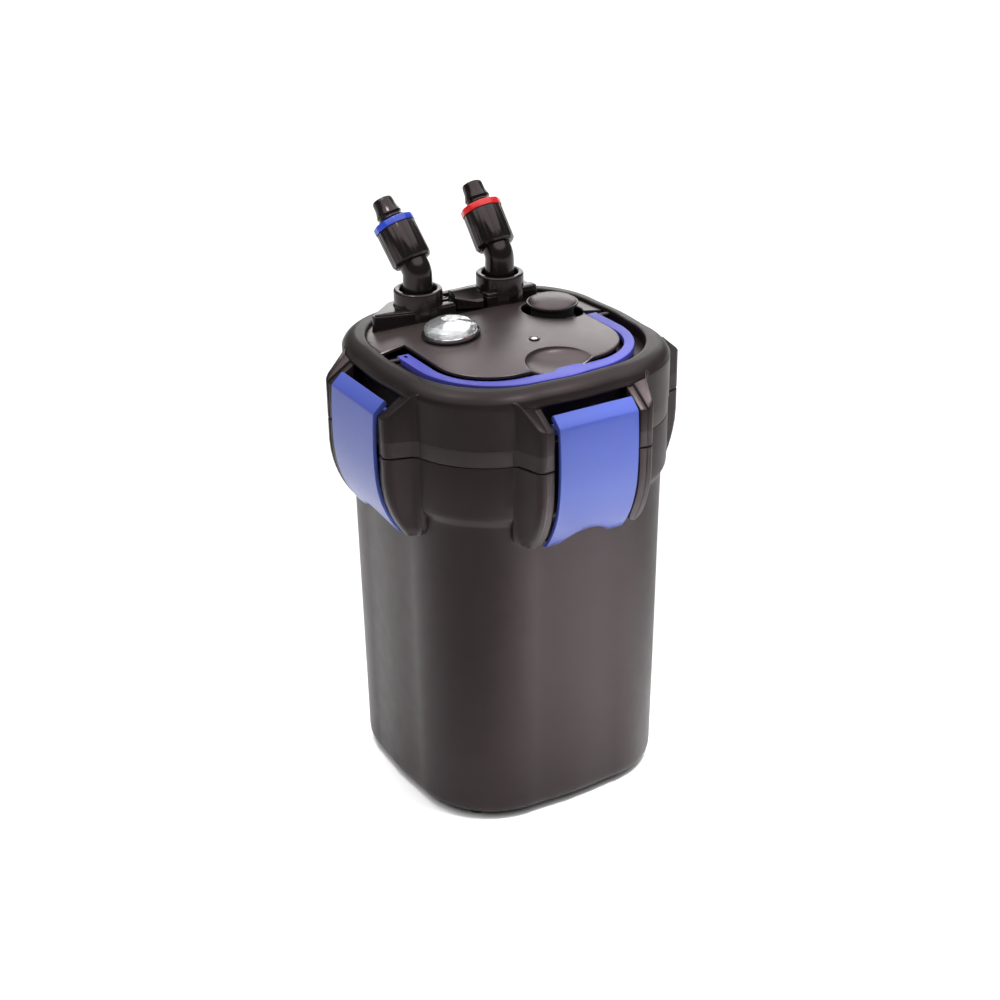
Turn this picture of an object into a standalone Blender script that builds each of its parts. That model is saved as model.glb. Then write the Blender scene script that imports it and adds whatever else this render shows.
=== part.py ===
"""Aquarium external canister filter, built as the real one comes apart on a bench.

Metres, +Z up. The origin is the centre of the footprint on the floor, the front is -Y.
The hoses and the power cord are not part of the object.
"""

import math

import bmesh
import bpy
from mathutils import Matrix, Vector

# Housing outline: rounded squares with slightly bowed sides
CORNER_CENTRE = 0.0397
RIM_CORNER_CENTRE = 0.0300
SIDE_BULGE = 0.0021
CORNER_STEPS = 5
GAP = 0.0003

# Heights of the stacked housing parts
FOOT_HEIGHT = 0.0050
BODY_FLOOR = 0.0085
COLLAR_LOW = 0.2720
COLLAR_HIGH = 0.2810
PARTING = 0.3237
BAND_TOP = 0.3370
WALL_TOP = 0.3719
RIM_TOP = 0.3813
CHANNEL_FLOOR = 0.3732
DECK_LOW = 0.3030
DECK_HIGH = 0.3060

# Half-widths of the housing parts
BODY_LOW_HALF = 0.1082
BODY_HIGH_HALF = 0.1113
COLLAR_HALF = 0.1158
MOUTH_HALF = 0.1092
LID_HALF = 0.1160
RIM_INNER_HALF = 0.1002
WALL = 0.0030

# Latches and the pillars beside them
LATCH_HALF = 0.0356
LATCH_FACE = 0.1385
LATCH_FOLD = (0.1372, 0.3564)
LATCH_TOP = (0.1279, 0.3649)
LATCH_LOW = 0.2500
LATCH_BULGE_Z = 0.3250
LATCH_PIN = (0.1240, 0.3520)
PILLAR_FRONT = 0.1364
PILLAR_INNER = 0.0384
PILLAR_LOW = 0.2532
POCKET_HALF = 0.0381
POCKET_BACK = 0.1086
POCKET_ROOF = 0.3683

# Carry handle
HANDLE_OUTER = 0.0956
HANDLE_INNER = 0.0826
HANDLE_LOW = 0.3740
HANDLE_HIGH = 0.3796
HANDLE_PIVOT = (0.0040, 0.3770)
PLATE_INSET = 0.0790

# Taps: two sockets on a lift-off block
SOCKET_X = 0.0387
SOCKET_Y = 0.0713
SOCKET_TOP = 0.4068
BLOCK_LOW = 0.3791
BLOCK_HIGH = 0.3940
BALL_Z = 0.3878
ELBOW_RADIUS = 0.0120
ELBOW_BEND_Z = 0.4210
ELBOW_LEAN = math.radians(40)
ELBOW_HEADING = {"left": math.radians(102), "right": math.radians(92)}
NUT_START = 0.0081
NUT_LENGTH = 0.0312
RING_LENGTH = 0.0057
TAIL_TIP = 0.0654

# Controls on the top plate
FLOW_CENTRE = Vector((-0.0415, 0.0125, 0.3844))
FLOW_TILT = (math.radians(0.3), math.radians(-4), 0)
PRIMER_CENTRE = (0.0595, 0.0225)
STATUS_CENTRE = (0.0080, -0.0320)

# Pump
MOTOR_CENTRE = (0.0, -0.0120)
ROTOR_WELL_RADIUS = 0.0123

# Filter media
BASKET_LOWS = (0.0200, 0.1030, 0.1860)
BASKET_HEIGHT = 0.0820
FOOT_SPREAD = 0.0755

for old in list(bpy.data.objects):
    bpy.data.objects.remove(old, do_unlink=True)


def new_collection(name):
    collection = bpy.data.collections.new(name)
    bpy.context.scene.collection.children.link(collection)
    return collection


PARTS = new_collection("canister_filter")
CUTTERS = new_collection("cutters")


def new_material(name, colour, roughness, metallic=0.0, alpha=1.0):
    material = bpy.data.materials.new(name)
    material.use_nodes = True
    shader = material.node_tree.nodes["Principled BSDF"]
    shader.inputs["Base Color"].default_value = (*colour, 1.0)
    shader.inputs["Roughness"].default_value = roughness
    shader.inputs["Metallic"].default_value = metallic
    shader.inputs["Alpha"].default_value = alpha
    material.diffuse_color = (*colour, alpha)
    return material


BODY_PLASTIC = new_material("body_plastic", (0.030, 0.024, 0.025), 0.38)
TAP_PLASTIC = new_material("tap_plastic", (0.012, 0.011, 0.011), 0.25)
BLUE_PLASTIC = new_material("blue_plastic", (0.055, 0.080, 0.520), 0.32)
RED_PLASTIC = new_material("red_plastic", (0.700, 0.015, 0.020), 0.35)
CLEAR_PLASTIC = new_material("clear_plastic", (0.85, 0.86, 0.88), 0.05, alpha=0.35)
WHITE_PLASTIC = new_material("white_plastic", (0.80, 0.80, 0.78), 0.4)
GREY_PLASTIC = new_material("grey_plastic", (0.32, 0.33, 0.34), 0.5)
RUBBER = new_material("rubber", (0.015, 0.015, 0.015), 0.8)
STEEL = new_material("steel", (0.55, 0.55, 0.56), 0.3, metallic=1.0)
CERAMIC = new_material("ceramic", (0.78, 0.74, 0.66), 0.6)
SPONGE = new_material("sponge", (0.05, 0.10, 0.25), 0.95)


def add_object(name, mesh, finish):
    """Link a mesh as a part, or as a hidden cutter when it has no finish."""
    item = bpy.data.objects.new(name, mesh)
    if finish is None:
        CUTTERS.objects.link(item)
        item.hide_render = True
        item.display_type = "WIRE"
        return item
    mesh.materials.clear()
    mesh.materials.append(finish)
    mesh.shade_smooth()
    mesh.set_sharp_from_angle(angle=math.radians(35))
    PARTS.objects.link(item)
    return item


def from_bmesh(name, bm, finish):
    bmesh.ops.recalc_face_normals(bm, faces=bm.faces)
    mesh = bpy.data.meshes.new(name)
    bm.to_mesh(mesh)
    bm.free()
    return add_object(name, mesh, finish)


def evaluated_mesh(item):
    bpy.context.view_layer.update()
    depsgraph = bpy.context.evaluated_depsgraph_get()
    return bpy.data.meshes.new_from_object(item.evaluated_get(depsgraph))


def move_origin(item, point):
    """Put the object's origin on its joint axis without moving its shape."""
    item.data.transform(Matrix.Translation(-Vector(point)))
    item.location = point


def boolean(target, operation, *others):
    for other in others:
        modifier = target.modifiers.new(operation.lower(), "BOOLEAN")
        modifier.operation = operation
        modifier.object = other


def cut(target, *cutters):
    boolean(target, "DIFFERENCE", *cutters)


def fuse(target, *additions):
    boolean(target, "UNION", *additions)


def section(half, z, centre=CORNER_CENTRE, bulge=SIDE_BULGE, steps=CORNER_STEPS):
    """A rounded square with bowed sides, counter-clockwise seen from above."""
    radius = half - centre
    points = []
    for quarter in range(4):
        turn = Matrix.Rotation(quarter * math.pi / 2, 3, "Z")
        for step in range(steps + 1):
            angle = step / steps * math.pi / 2
            across = centre + radius * math.cos(angle)
            along = centre + radius * math.sin(angle)
            points.append(turn @ Vector((across, along, z)))
        points.append(turn @ Vector((0, half + bulge, z)))
    return points


def loft(name, rings, finish, closed=False):
    """Skin equal rings of points. An open skin is capped, a closed one joins its ends."""
    bm = bmesh.new()
    layers = [[bm.verts.new(point) for point in ring] for ring in rings]
    count = len(layers[0])
    pairs = list(zip(layers, layers[1:]))
    if closed:
        pairs.append((layers[-1], layers[0]))
    for low, high in pairs:
        for index in range(count):
            after = (index + 1) % count
            bm.faces.new((low[index], low[after], high[after], high[index]))
    if not closed:
        bm.faces.new(reversed(layers[0]))
        bm.faces.new(layers[-1])
    return from_bmesh(name, bm, finish)


def housing(name, levels, finish, closed=False, **shape):
    """A housing part from (half-width, height) levels."""
    rings = [section(half, z, **shape) for half, z in levels]
    return loft(name, rings, finish, closed)


def box(name, low, high, finish=None):
    bm = bmesh.new()
    centre = (Vector(low) + Vector(high)) / 2
    size = Vector(high) - Vector(low)
    place = Matrix.Translation(centre) @ Matrix.Diagonal((*size, 1))
    bmesh.ops.create_cube(bm, size=1.0, matrix=place)
    return from_bmesh(name, bm, finish)


def rod(name, radius, start, end, finish=None, segments=24):
    """A straight round bar between two points."""
    bm = bmesh.new()
    start = Vector(start)
    direction = Vector(end) - start
    facing = direction.to_track_quat("Z", "Y").to_matrix().to_4x4()
    place = Matrix.Translation(start + direction / 2) @ facing
    bmesh.ops.create_cone(bm, cap_ends=True, segments=segments, radius1=radius,
                          radius2=radius, depth=direction.length, matrix=place)
    return from_bmesh(name, bm, finish)


def prism(name, outline, low, high, finish=None, place=None):
    """A flat outline made solid from low to high along its own Z, then placed."""
    curve = bpy.data.curves.new(name, "CURVE")
    curve.dimensions = "2D"
    curve.fill_mode = "BOTH"
    curve.extrude = (high - low) / 2
    spline = curve.splines.new("POLY")
    spline.points.add(len(outline) - 1)
    spline.use_cyclic_u = True
    for point, (x, y) in zip(spline.points, outline):
        point.co = (x, y, 0, 1)
    guide = bpy.data.objects.new(name + "_outline", curve)
    CUTTERS.objects.link(guide)
    mesh = evaluated_mesh(guide)
    bpy.data.objects.remove(guide)
    bm = bmesh.new()
    bm.from_mesh(mesh)
    bpy.data.meshes.remove(mesh)
    bmesh.ops.remove_doubles(bm, verts=bm.verts, dist=0.00001)
    bmesh.ops.translate(bm, verts=bm.verts, vec=(0, 0, (low + high) / 2))
    if place is not None:
        bm.transform(place)
    return from_bmesh(name, bm, finish)


def turned(name, profile, finish, closed=False, steps=24):
    """Turn an (r, z) profile about Z. It runs down its outer side, top to bottom."""
    bm = bmesh.new()
    verts = [bm.verts.new((radius, 0, z)) for radius, z in profile]
    edges = list(zip(verts, verts[1:]))
    if closed:
        edges.append((verts[-1], verts[0]))
    for edge in edges:
        bm.edges.new(edge)
    mesh = bpy.data.meshes.new(name)
    bm.to_mesh(mesh)
    bm.free()
    item = add_object(name, mesh, finish)
    screw = item.modifiers.new("turn", "SCREW")
    screw.axis = "Z"
    screw.angle = 2 * math.pi
    screw.steps = steps
    screw.render_steps = steps
    screw.use_merge_vertices = True
    screw.merge_threshold = 0.00002
    return item


def ring_of(centre, side, other, radius, count):
    return [centre + radius * (math.cos(turn) * side + math.sin(turn) * other)
            for turn in (2 * math.pi * index / count for index in range(count))]


def tube(name, path, outer, inner, finish, count=16):
    """A hollow tube along a path, with a section carried along without twist."""
    path = [Vector(point) for point in path]
    first = (path[1] - path[0]).normalized()
    side = first.orthogonal().normalized()
    frames = []
    for index, point in enumerate(path):
        ahead = path[min(index + 1, len(path) - 1)]
        behind = path[max(index - 1, 0)]
        tangent = (ahead - behind).normalized()
        side = (side - tangent * side.dot(tangent)).normalized()
        frames.append((point, side.copy(), tangent.cross(side)))
    rings = [ring_of(*frame, outer, count) for frame in frames]
    rings += [ring_of(*frame, inner, count) for frame in reversed(frames)]
    return loft(name, rings, finish, closed=True)


def latch_face(z):
    """How far the latch's outer face stands from the axis at a height."""
    if z >= LATCH_BULGE_Z:
        rise = (z - LATCH_BULGE_Z) / (LATCH_FOLD[1] - LATCH_BULGE_Z)
        return LATCH_FACE - 0.0013 * rise ** 2
    fall = (LATCH_BULGE_Z - z) / (LATCH_BULGE_Z - LATCH_LOW)
    return LATCH_FACE - 0.0219 * fall ** 2.8


def pillar_plan(front, root_inner, root_outer, narrow=1.0):
    """Plan of the pillar at +X of the front latch, as (x, distance out) points."""
    depth = PILLAR_FRONT - root_inner
    scale = (front - root_inner) / depth
    shape = ((0.0384, 0.1364), (0.0455, 0.1364), (0.0493, 0.1352), (0.0519, 0.1324),
             (0.0534, 0.1285), (0.0576, 0.1175))
    points = [(PILLAR_INNER, root_inner)]
    points += [(x, root_inner + (out - root_inner) * scale) for x, out in shape]
    points.append((0.0590, root_outer))
    middle = 0.0475
    return [(middle + (x - middle) * narrow, out) for x, out in points]


def around(shape_one):
    """Repeat a list of +X front rings for both sides of all four latches."""
    copies = []
    for quarter in range(4):
        turn = Matrix.Rotation(quarter * math.pi / 2, 3, "Z")
        for side in (1, -1):
            copies.append([[turn @ Vector((side * x, -out, z)) for x, out, z in ring]
                           for ring in shape_one])
    return copies


def pillars(name, shape_one):
    """Eight separate pillar solids in one hidden operand."""
    bm = bmesh.new()
    for rings in around(shape_one):
        layers = [[bm.verts.new(point) for point in ring] for ring in rings]
        count = len(layers[0])
        for low, high in zip(layers, layers[1:]):
            for index in range(count):
                after = (index + 1) % count
                bm.faces.new((low[index], low[after], high[after], high[index]))
        bm.faces.new(layers[0])
        bm.faces.new(layers[-1])
    return from_bmesh(name, bm, None)


def boxes(name, bounds):
    """Several separate blocks in one hidden operand."""
    bm = bmesh.new()
    for low, high in bounds:
        centre = (Vector(low) + Vector(high)) / 2
        size = Vector(high) - Vector(low)
        place = Matrix.Translation(centre) @ Matrix.Diagonal((*size, 1))
        bmesh.ops.create_cube(bm, size=1.0, matrix=place)
    return from_bmesh(name, bm, None)


def four_blocks(name, half, near, far, low, high):
    """The same block in front of each side, from near to far out from the axis."""
    bm = bmesh.new()
    for quarter in range(4):
        turn = Matrix.Rotation(quarter * math.pi / 2, 4, "Z")
        centre = Vector((0, -(near + far) / 2, (low + high) / 2))
        size = (2 * half, far - near, high - low)
        place = turn @ Matrix.Translation(centre) @ Matrix.Diagonal((*size, 1))
        bmesh.ops.create_cube(bm, size=1.0, matrix=place)
    return from_bmesh(name, bm, None)


def rods(name, radius, spans, segments=12):
    """Several straight round bars in one hidden operand."""
    bm = bmesh.new()
    for start, end in spans:
        direction = Vector(end) - Vector(start)
        facing = direction.to_track_quat("Z", "Y").to_matrix().to_4x4()
        place = Matrix.Translation(Vector(start) + direction / 2) @ facing
        bmesh.ops.create_cone(bm, cap_ends=True, segments=segments, radius1=radius,
                              radius2=radius, depth=direction.length, matrix=place)
    return from_bmesh(name, bm, None)


def corners(spread):
    return [(sx * spread, sy * spread) for sx in (-1, 1) for sy in (-1, 1)]


# Canister and feet

def build_canister():
    outer = [(0.1000, FOOT_HEIGHT), (0.1052, 0.0068), (BODY_LOW_HALF, 0.0130),
             (BODY_HIGH_HALF, COLLAR_LOW), (COLLAR_HALF - 0.0004, COLLAR_HIGH),
             (COLLAR_HALF, PARTING - GAP / 2)]
    inner = [(MOUTH_HALF + 0.0010, PARTING - GAP / 2), (MOUTH_HALF, 0.3215),
             (MOUTH_HALF - 0.0002, 0.3000), (BODY_HIGH_HALF - WALL, 0.2960),
             (BODY_LOW_HALF - WALL, 0.0140), (0.1010, BODY_FLOOR)]
    canister = housing("canister", outer + inner, BODY_PLASTIC)
    heights = (PILLAR_LOW, 0.2548, 0.2580, 0.2640, 0.2740, 0.2880, PARTING - GAP / 2)
    rings = []
    for z in heights:
        front = min(PILLAR_FRONT, latch_face(z) - 0.0012)
        drop = max(0.0, 0.2640 - z) / 0.0114
        plan = pillar_plan(front, 0.1100, 0.1072, math.sqrt(1 - drop ** 2))
        rings.append([(x, out, z) for x, out in plan])
    recesses = four_blocks("latch_recesses", POCKET_HALF, 0.1142, 0.1300, 0.2690, 0.3300)
    ledges = four_blocks("latch_ledges", 0.0140, 0.1120, 0.1182, 0.3030, 0.3090)
    pads = rods("basket_pads", 0.0060,
                [((x, y, 0.0070), (x, y, BASKET_LOWS[0] - GAP)) for x, y in corners(0.0600)])
    studs = rods("foot_stud_holes", 0.0029,
                 [((x, y, 0.0), (x, y, 0.0072)) for x, y in corners(FOOT_SPREAD)])
    cut(canister, recesses)
    fuse(canister, pillars("canister_pillars", rings), ledges, pads)
    cut(canister, studs)


def build_feet():
    profile = [(0.0, 0.0069), (0.0026, 0.0069), (0.0026, 0.0047), (0.0095, 0.0047),
               (0.0088, 0.0004), (0.0084, 0.0), (0.0, 0.0)]
    names = ("front_left", "rear_left", "front_right", "rear_right")
    for name, (x, y) in zip(names, corners(FOOT_SPREAD)):
        foot = turned("foot_" + name, profile, RUBBER, steps=14)
        foot.location = (x, y, 0)


# Head: the plug with the pump, the covers on top and the seal

def build_head_base():
    outer = [(0.1084, DECK_LOW), (0.1084, 0.3090), (0.1052, 0.3090), (0.1052, 0.3150),
             (0.1084, 0.3150), (0.1084, PARTING + GAP / 2), (0.1156, PARTING + GAP / 2),
             (0.1156, BAND_TOP - GAP / 2)]
    inner = [(0.1124, BAND_TOP - GAP / 2), (0.1124, 0.3275), (0.1018, 0.3275),
             (0.1018, DECK_HIGH)]
    base = housing("head_base", outer + inner, BODY_PLASTIC)
    rings = []
    for z in (PARTING + GAP / 2, BAND_TOP - GAP / 2):
        rings.append([(x, out, z) for x, out in pillar_plan(PILLAR_FRONT, 0.1140, 0.1115)])
    well_x, well_y = MOTOR_CENTRE
    well = rod("rotor_well", 0.0150, (well_x, well_y, 0.3045), (well_x, well_y, 0.3520))
    posts = rods("stator_posts", 0.0042, [((x, y, 0.3045), (x, y, 0.3117))
                                          for x, y in stator_corners()])
    bore = rod("rotor_bore", ROTOR_WELL_RADIUS, (well_x, well_y, 0.3000),
               (well_x, well_y, 0.3498))
    pilots = rods("stator_pilots", 0.0019, [((x, y, 0.3050), (x, y, 0.3130))
                                            for x, y in stator_corners()])
    ports = rods("deck_ports", 0.0110, [((side * SOCKET_X, SOCKET_Y, 0.3000),
                                         (side * SOCKET_X, SOCKET_Y, 0.3080))
                                        for side in (-1, 1)], segments=20)
    fuse(base, pillars("band_pillars", rings), well, posts)
    cut(base, bore, pilots, ports)


def build_main_seal():
    levels = []
    for index in range(6):
        turn = 2 * math.pi * index / 6
        levels.append((0.10715 + 0.0016 * math.cos(turn), 0.3120 + 0.0026 * math.sin(turn)))
    housing("main_seal", levels, RUBBER, closed=True)


def build_head_cover():
    low = BAND_TOP + GAP / 2
    outer = [(LID_HALF, low), (LID_HALF + 0.0002, WALL_TOP), (0.1142, 0.3754),
             (0.1105, 0.3786), (0.1060, 0.3807), (0.1024, RIM_TOP), (0.1004, 0.3802),
             (RIM_INNER_HALF, CHANNEL_FLOOR), (PLATE_INSET - 0.0020, CHANNEL_FLOOR)]
    inner = [(PLATE_INSET - 0.0020, 0.3690), (RIM_INNER_HALF + WALL, 0.3690),
             (RIM_INNER_HALF + WALL, 0.3780), (0.1066, 0.3774), (0.1104, 0.3746),
             (0.1128, 0.3710), (0.1130, low)]
    rings = []
    for half, z in outer + inner:
        centre = CORNER_CENTRE if half > 0.1035 else RIM_CORNER_CENTRE
        if PLATE_INSET > half:
            centre = 0.0320
        rings.append(section(half, z, centre))
    cover = loft("head_cover", rings, BODY_PLASTIC, closed=True)
    plan = pillar_plan(PILLAR_FRONT, 0.1140, 0.1115)
    slope = [(x, out, 0.3715 - (out - 0.1175) * 0.82) for x, out in plan]
    posts = pillars("cover_pillars", [[(x, out, low) for x, out in plan], slope])
    pocket_walls = four_blocks("pocket_walls", 0.0406, 0.1058, 0.1156, low, 0.3712)
    fuse(cover, posts, pocket_walls)
    pockets = four_blocks("latch_pockets", POCKET_HALF, POCKET_BACK, 0.1450, 0.3300, POCKET_ROOF)
    pin_spans = []
    for quarter in range(4):
        turn = Matrix.Rotation(quarter * math.pi / 2, 3, "Z")
        ends = [turn @ Vector((x, -LATCH_PIN[0], LATCH_PIN[1])) for x in (-0.0465, 0.0465)]
        pin_spans.append(ends)
    pin_holes = rods("pin_holes", 0.0023, pin_spans)
    pivot_y, pivot_z = HANDLE_PIVOT
    trunnions = rods("trunnion_holes", 0.0027, [((side * 0.0990, pivot_y, pivot_z),
                                                 (side * 0.1085, pivot_y, pivot_z))
                                                for side in (-1, 1)])
    eye_wells = boxes("handle_eye_wells",
                      [((-0.1010, -0.0030, 0.3710), (-0.0800, 0.0215, 0.3760)),
                       ((0.0800, -0.0030, 0.3710), (0.1010, 0.0115, 0.3760))])
    ports = rods("cover_ports", 0.0125, [((side * SOCKET_X, SOCKET_Y, 0.3650),
                                          (side * SOCKET_X, SOCKET_Y, 0.3800))
                                         for side in (-1, 1)], segments=20)
    primer_hole = rod("cover_primer_hole", 0.0222, (*PRIMER_CENTRE, 0.3650),
                      (*PRIMER_CENTRE, 0.3800))
    cord_hole = rod("cord_hole", 0.0048, (0.0850, 0.0850, 0.3550), (0.1000, 0.1000, 0.3550),
                    segments=16)
    cut(cover, pockets, pin_holes, trunnions, eye_wells, ports, primer_hole, cord_hole)


def front_path(half, centre, left_end, right_end):
    """The front three sides of a rounded square, from its left end to its right one."""
    radius = half - centre
    points = [(-half, left_end)]
    for corner_x, first in ((-centre, math.pi), (centre, 1.5 * math.pi)):
        for step in range(CORNER_STEPS + 1):
            angle = first + step / CORNER_STEPS * math.pi / 2
            points.append((corner_x + radius * math.cos(angle),
                           -centre + radius * math.sin(angle)))
        if corner_x < 0:
            points.append((0.0, -half - SIDE_BULGE))
    points.append((half, right_end))
    return points


def lower_ellipsoid(name, centre, radii, top, finish=None):
    """The part of an ellipsoid that lies below a height."""
    bm = bmesh.new()
    place = Matrix.Translation(centre) @ Matrix.Diagonal((*radii, 1))
    bmesh.ops.create_uvsphere(bm, u_segments=20, v_segments=12, radius=1.0, matrix=place)
    geometry = list(bm.verts) + list(bm.edges) + list(bm.faces)
    sliced = bmesh.ops.bisect_plane(bm, geom=geometry, plane_co=(0, 0, top),
                                    plane_no=(0, 0, 1), clear_outer=True)
    rim = [item for item in sliced["geom_cut"] if isinstance(item, bmesh.types.BMEdge)]
    bmesh.ops.contextual_create(bm, geom=rim)
    return from_bmesh(name, bm, finish)


def block_outline(grow):
    """Plan of the tap block, or of its recess when grown."""
    return [(-0.0840 - grow, 0.0630 - grow), (-0.0540, 0.0545 - grow),
            (0.0660 + grow, 0.0545 - grow), (0.0660 + grow, 0.0835 + grow / 2),
            (0.0560 + grow / 2, 0.0905 + grow), (-0.0560 - grow / 2, 0.0905 + grow),
            (-0.0840 - grow, 0.0670 + grow / 2)]


def build_top_plate():
    edge = RIM_INNER_HALF - GAP
    dome = [(edge, 0.3786), (0.0850, 0.3814), (0.0660, 0.3838), (0.0440, 0.3854),
            (0.0240, 0.3862)]
    rings = []
    for half, z in dome:
        rings.append(section(half, z, half * 0.30, SIDE_BULGE * half / edge))
    under = [[point - Vector((0, 0, 0.0026)) for point in ring] for ring in rings]
    plate = loft("top_plate", list(reversed(under)) + rings, BODY_PLASTIC)
    scoop_centre = (0.0040, -0.0800, 0.3846)
    lump = lower_ellipsoid("scoop_lump", scoop_centre, (0.0310, 0.0320, 0.0110), 0.3812)
    scoop = lower_ellipsoid("scoop", scoop_centre, (0.0290, 0.0300, 0.0090), 0.3940)
    platform = prism("block_platform", block_outline(0.0025), 0.3745, 0.3825)
    recess = prism("block_recess", block_outline(0.0005), 0.3788, 0.3950)
    fuse(plate, lump, platform)
    outside = front_path(0.1120, 0.0397, 0.0215, 0.0115)
    inside = front_path(PLATE_INSET, 0.0320, 0.0215, 0.0115)
    channel = prism("handle_channel", outside + inside[::-1], 0.3600, 0.3950)
    ports = rods("plate_ports", 0.0150, [((side * SOCKET_X, SOCKET_Y, 0.3700),
                                          (side * SOCKET_X, SOCKET_Y, 0.3900))
                                         for side in (-1, 1)], segments=24)
    primer_hole = rod("plate_primer_hole", 0.0258, (*PRIMER_CENTRE, 0.3700),
                      (*PRIMER_CENTRE, 0.3950))
    status_hole = rod("status_hole", 0.0039, (*STATUS_CENTRE, 0.3700),
                      (*STATUS_CENTRE, 0.3950), segments=16)
    flow_hole = rod("flow_hole", 0.0199, (0, 0, -0.0150), (0, 0, 0.0150))
    flow_hole.location = FLOW_CENTRE
    flow_hole.rotation_euler = FLOW_TILT
    cut(plate, scoop, recess, channel, ports, primer_hole, status_hole, flow_hole)


# Latches, their pins and the carry handle

def latch_outline():
    """Side view of the latch plate as (distance out, height)."""
    outer = [LATCH_TOP, LATCH_FOLD]
    heights = (0.3250, 0.3020, 0.2860, 0.2740, 0.2650, 0.2570, LATCH_LOW)
    outer += [(latch_face(z), z) for z in heights]
    inner = [(latch_face(z) - 0.0032, z) for z in heights[:-2]]
    inner.append((latch_face(0.2570) - 0.0030, 0.2580))
    inner.append((latch_face(LATCH_LOW) - 0.0016, 0.2515))
    inner.reverse()
    inner += [(LATCH_FOLD[0] - 0.0034, 0.3548), (LATCH_TOP[0] - 0.0022, LATCH_TOP[1] - 0.0024)]
    return outer + inner


def latch_mesh():
    """One latch in front of the -Y side, as a finished mesh about its pin."""
    sideways = Matrix(((0, 0, -1, 0), (-1, 0, 0, 0), (0, 1, 0, 0), (0, 0, 0, 1)))
    plate = prism("latch_plate", latch_outline(), -LATCH_HALF, LATCH_HALF, BLUE_PLASTIC, sideways)
    out, height = LATCH_PIN
    barrel = rod("latch_barrel", 0.0040, (-0.0340, -out, height), (0.0340, -out, height),
                 segments=12)
    web = [(out, height - 0.0036), (0.1364, height - 0.0036), (0.1364, height + 0.0036),
           (out, height + 0.0036)]
    webs = [prism("latch_web", web, low, low + 0.0030, None, sideways)
            for low in (-0.0320, -0.0015, 0.0290)]
    hook = [(0.1186, 0.2968), (0.1186, 0.3020), (0.1197, 0.3026), (0.1364, 0.3026),
            (0.1352, 0.2968)]
    hook_bar = prism("latch_hook", hook, -0.0130, 0.0130, None, sideways)
    bore = rod("latch_bore", 0.0024, (-0.0400, -out, height), (0.0400, -out, height),
               segments=10)
    arch = rod("latch_arch", 0.0295, (0, -0.1000, 0.2315), (0, -0.1450, 0.2315), segments=32)
    fuse(plate, barrel, *webs, hook_bar)
    cut(plate, bore, arch)
    mesh = evaluated_mesh(plate)
    mesh.transform(Matrix.Translation((0, out, -height)))
    for item in (plate, barrel, *webs, hook_bar, bore, arch):
        bpy.data.objects.remove(item)
    return mesh


def build_latches():
    mesh = latch_mesh()
    out, height = LATCH_PIN
    for quarter, name in enumerate(("front", "right", "rear", "left")):
        turn = Matrix.Rotation(quarter * math.pi / 2, 3, "Z")
        latch = add_object("latch_" + name, mesh, BLUE_PLASTIC)
        latch.location = turn @ Vector((0, -out, height))
        latch.rotation_euler.z = quarter * math.pi / 2
        pin = rod("latch_pin_" + name, 0.0020, (-0.0460, 0, 0), (0.0460, 0, 0), STEEL, 10)
        pin.location = latch.location
        pin.rotation_euler.z = latch.rotation_euler.z


def build_carry_handle():
    outside = front_path(HANDLE_OUTER, 0.0250, 0.0085, 0.0085)
    inside = front_path(HANDLE_INNER, 0.0320, 0.0085, 0.0085)
    handle = prism("carry_handle", outside + inside[::-1], HANDLE_LOW, HANDLE_HIGH,
                   BLUE_PLASTIC)
    pivot_y, pivot_z = HANDLE_PIVOT
    stubs = rods("handle_trunnions", 0.0024, [((side * 0.0930, pivot_y, pivot_z),
                                               (side * 0.1048, pivot_y, pivot_z))
                                              for side in (-1, 1)])
    tab = prism("handle_tab", [(-0.0060, -0.0880), (0.0230, -0.0880), (0.0190, -0.0775),
                               (-0.0020, -0.0775)], 0.3774, HANDLE_HIGH - 0.0001)
    fuse(handle, stubs, tab)
    move_origin(handle, (0, pivot_y, pivot_z))


# Taps

def build_valve_block():
    block = prism("valve_block", block_outline(0), BLOCK_LOW, BLOCK_HIGH, TAP_PLASTIC)
    for side in (-1, 1):
        x = side * SOCKET_X
        collar = rod("collar", 0.0200, (x, SOCKET_Y, BLOCK_HIGH - 0.0020),
                     (x, SOCKET_Y, SOCKET_TOP))
        cup = rod("tap_cup", 0.0145, (x, SOCKET_Y, 0.3748), (x, SOCKET_Y, 0.3850))
        spigot = rod("spigot", 0.0112, (x, SOCKET_Y, 0.3710), (x, SOCKET_Y, 0.3760),
                     segments=20)
        fuse(block, collar, cup, spigot)
    for side in (-1, 1):
        x = side * SOCKET_X
        bore = rod("tap_bore", 0.0123, (x, SOCKET_Y, 0.3772), (x, SOCKET_Y, 0.4100))
        mouth = rod("tap_mouth", 0.0148, (x, SOCKET_Y, 0.4010), (x, SOCKET_Y, 0.4100))
        port = rod("tap_port", 0.0080, (x, SOCKET_Y, 0.3650), (x, SOCKET_Y, 0.3800),
                   segments=20)
        cut(block, bore, mouth, port)
    stem_hole = rod("stem_hole", 0.0030, (-0.0300, SOCKET_Y, BALL_Z), (0.0300, SOCKET_Y, BALL_Z),
                    segments=12)
    hub_slot = box("hub_slot", (-0.0126, 0.0640, 0.3815), (0.0166, 0.0840, 0.3980))
    arm_slot = box("arm_slot", (-0.0126, 0.0500, 0.3842), (0.0166, 0.0660, 0.3980))
    cut(block, stem_hole, hub_slot, arm_slot)


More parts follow.
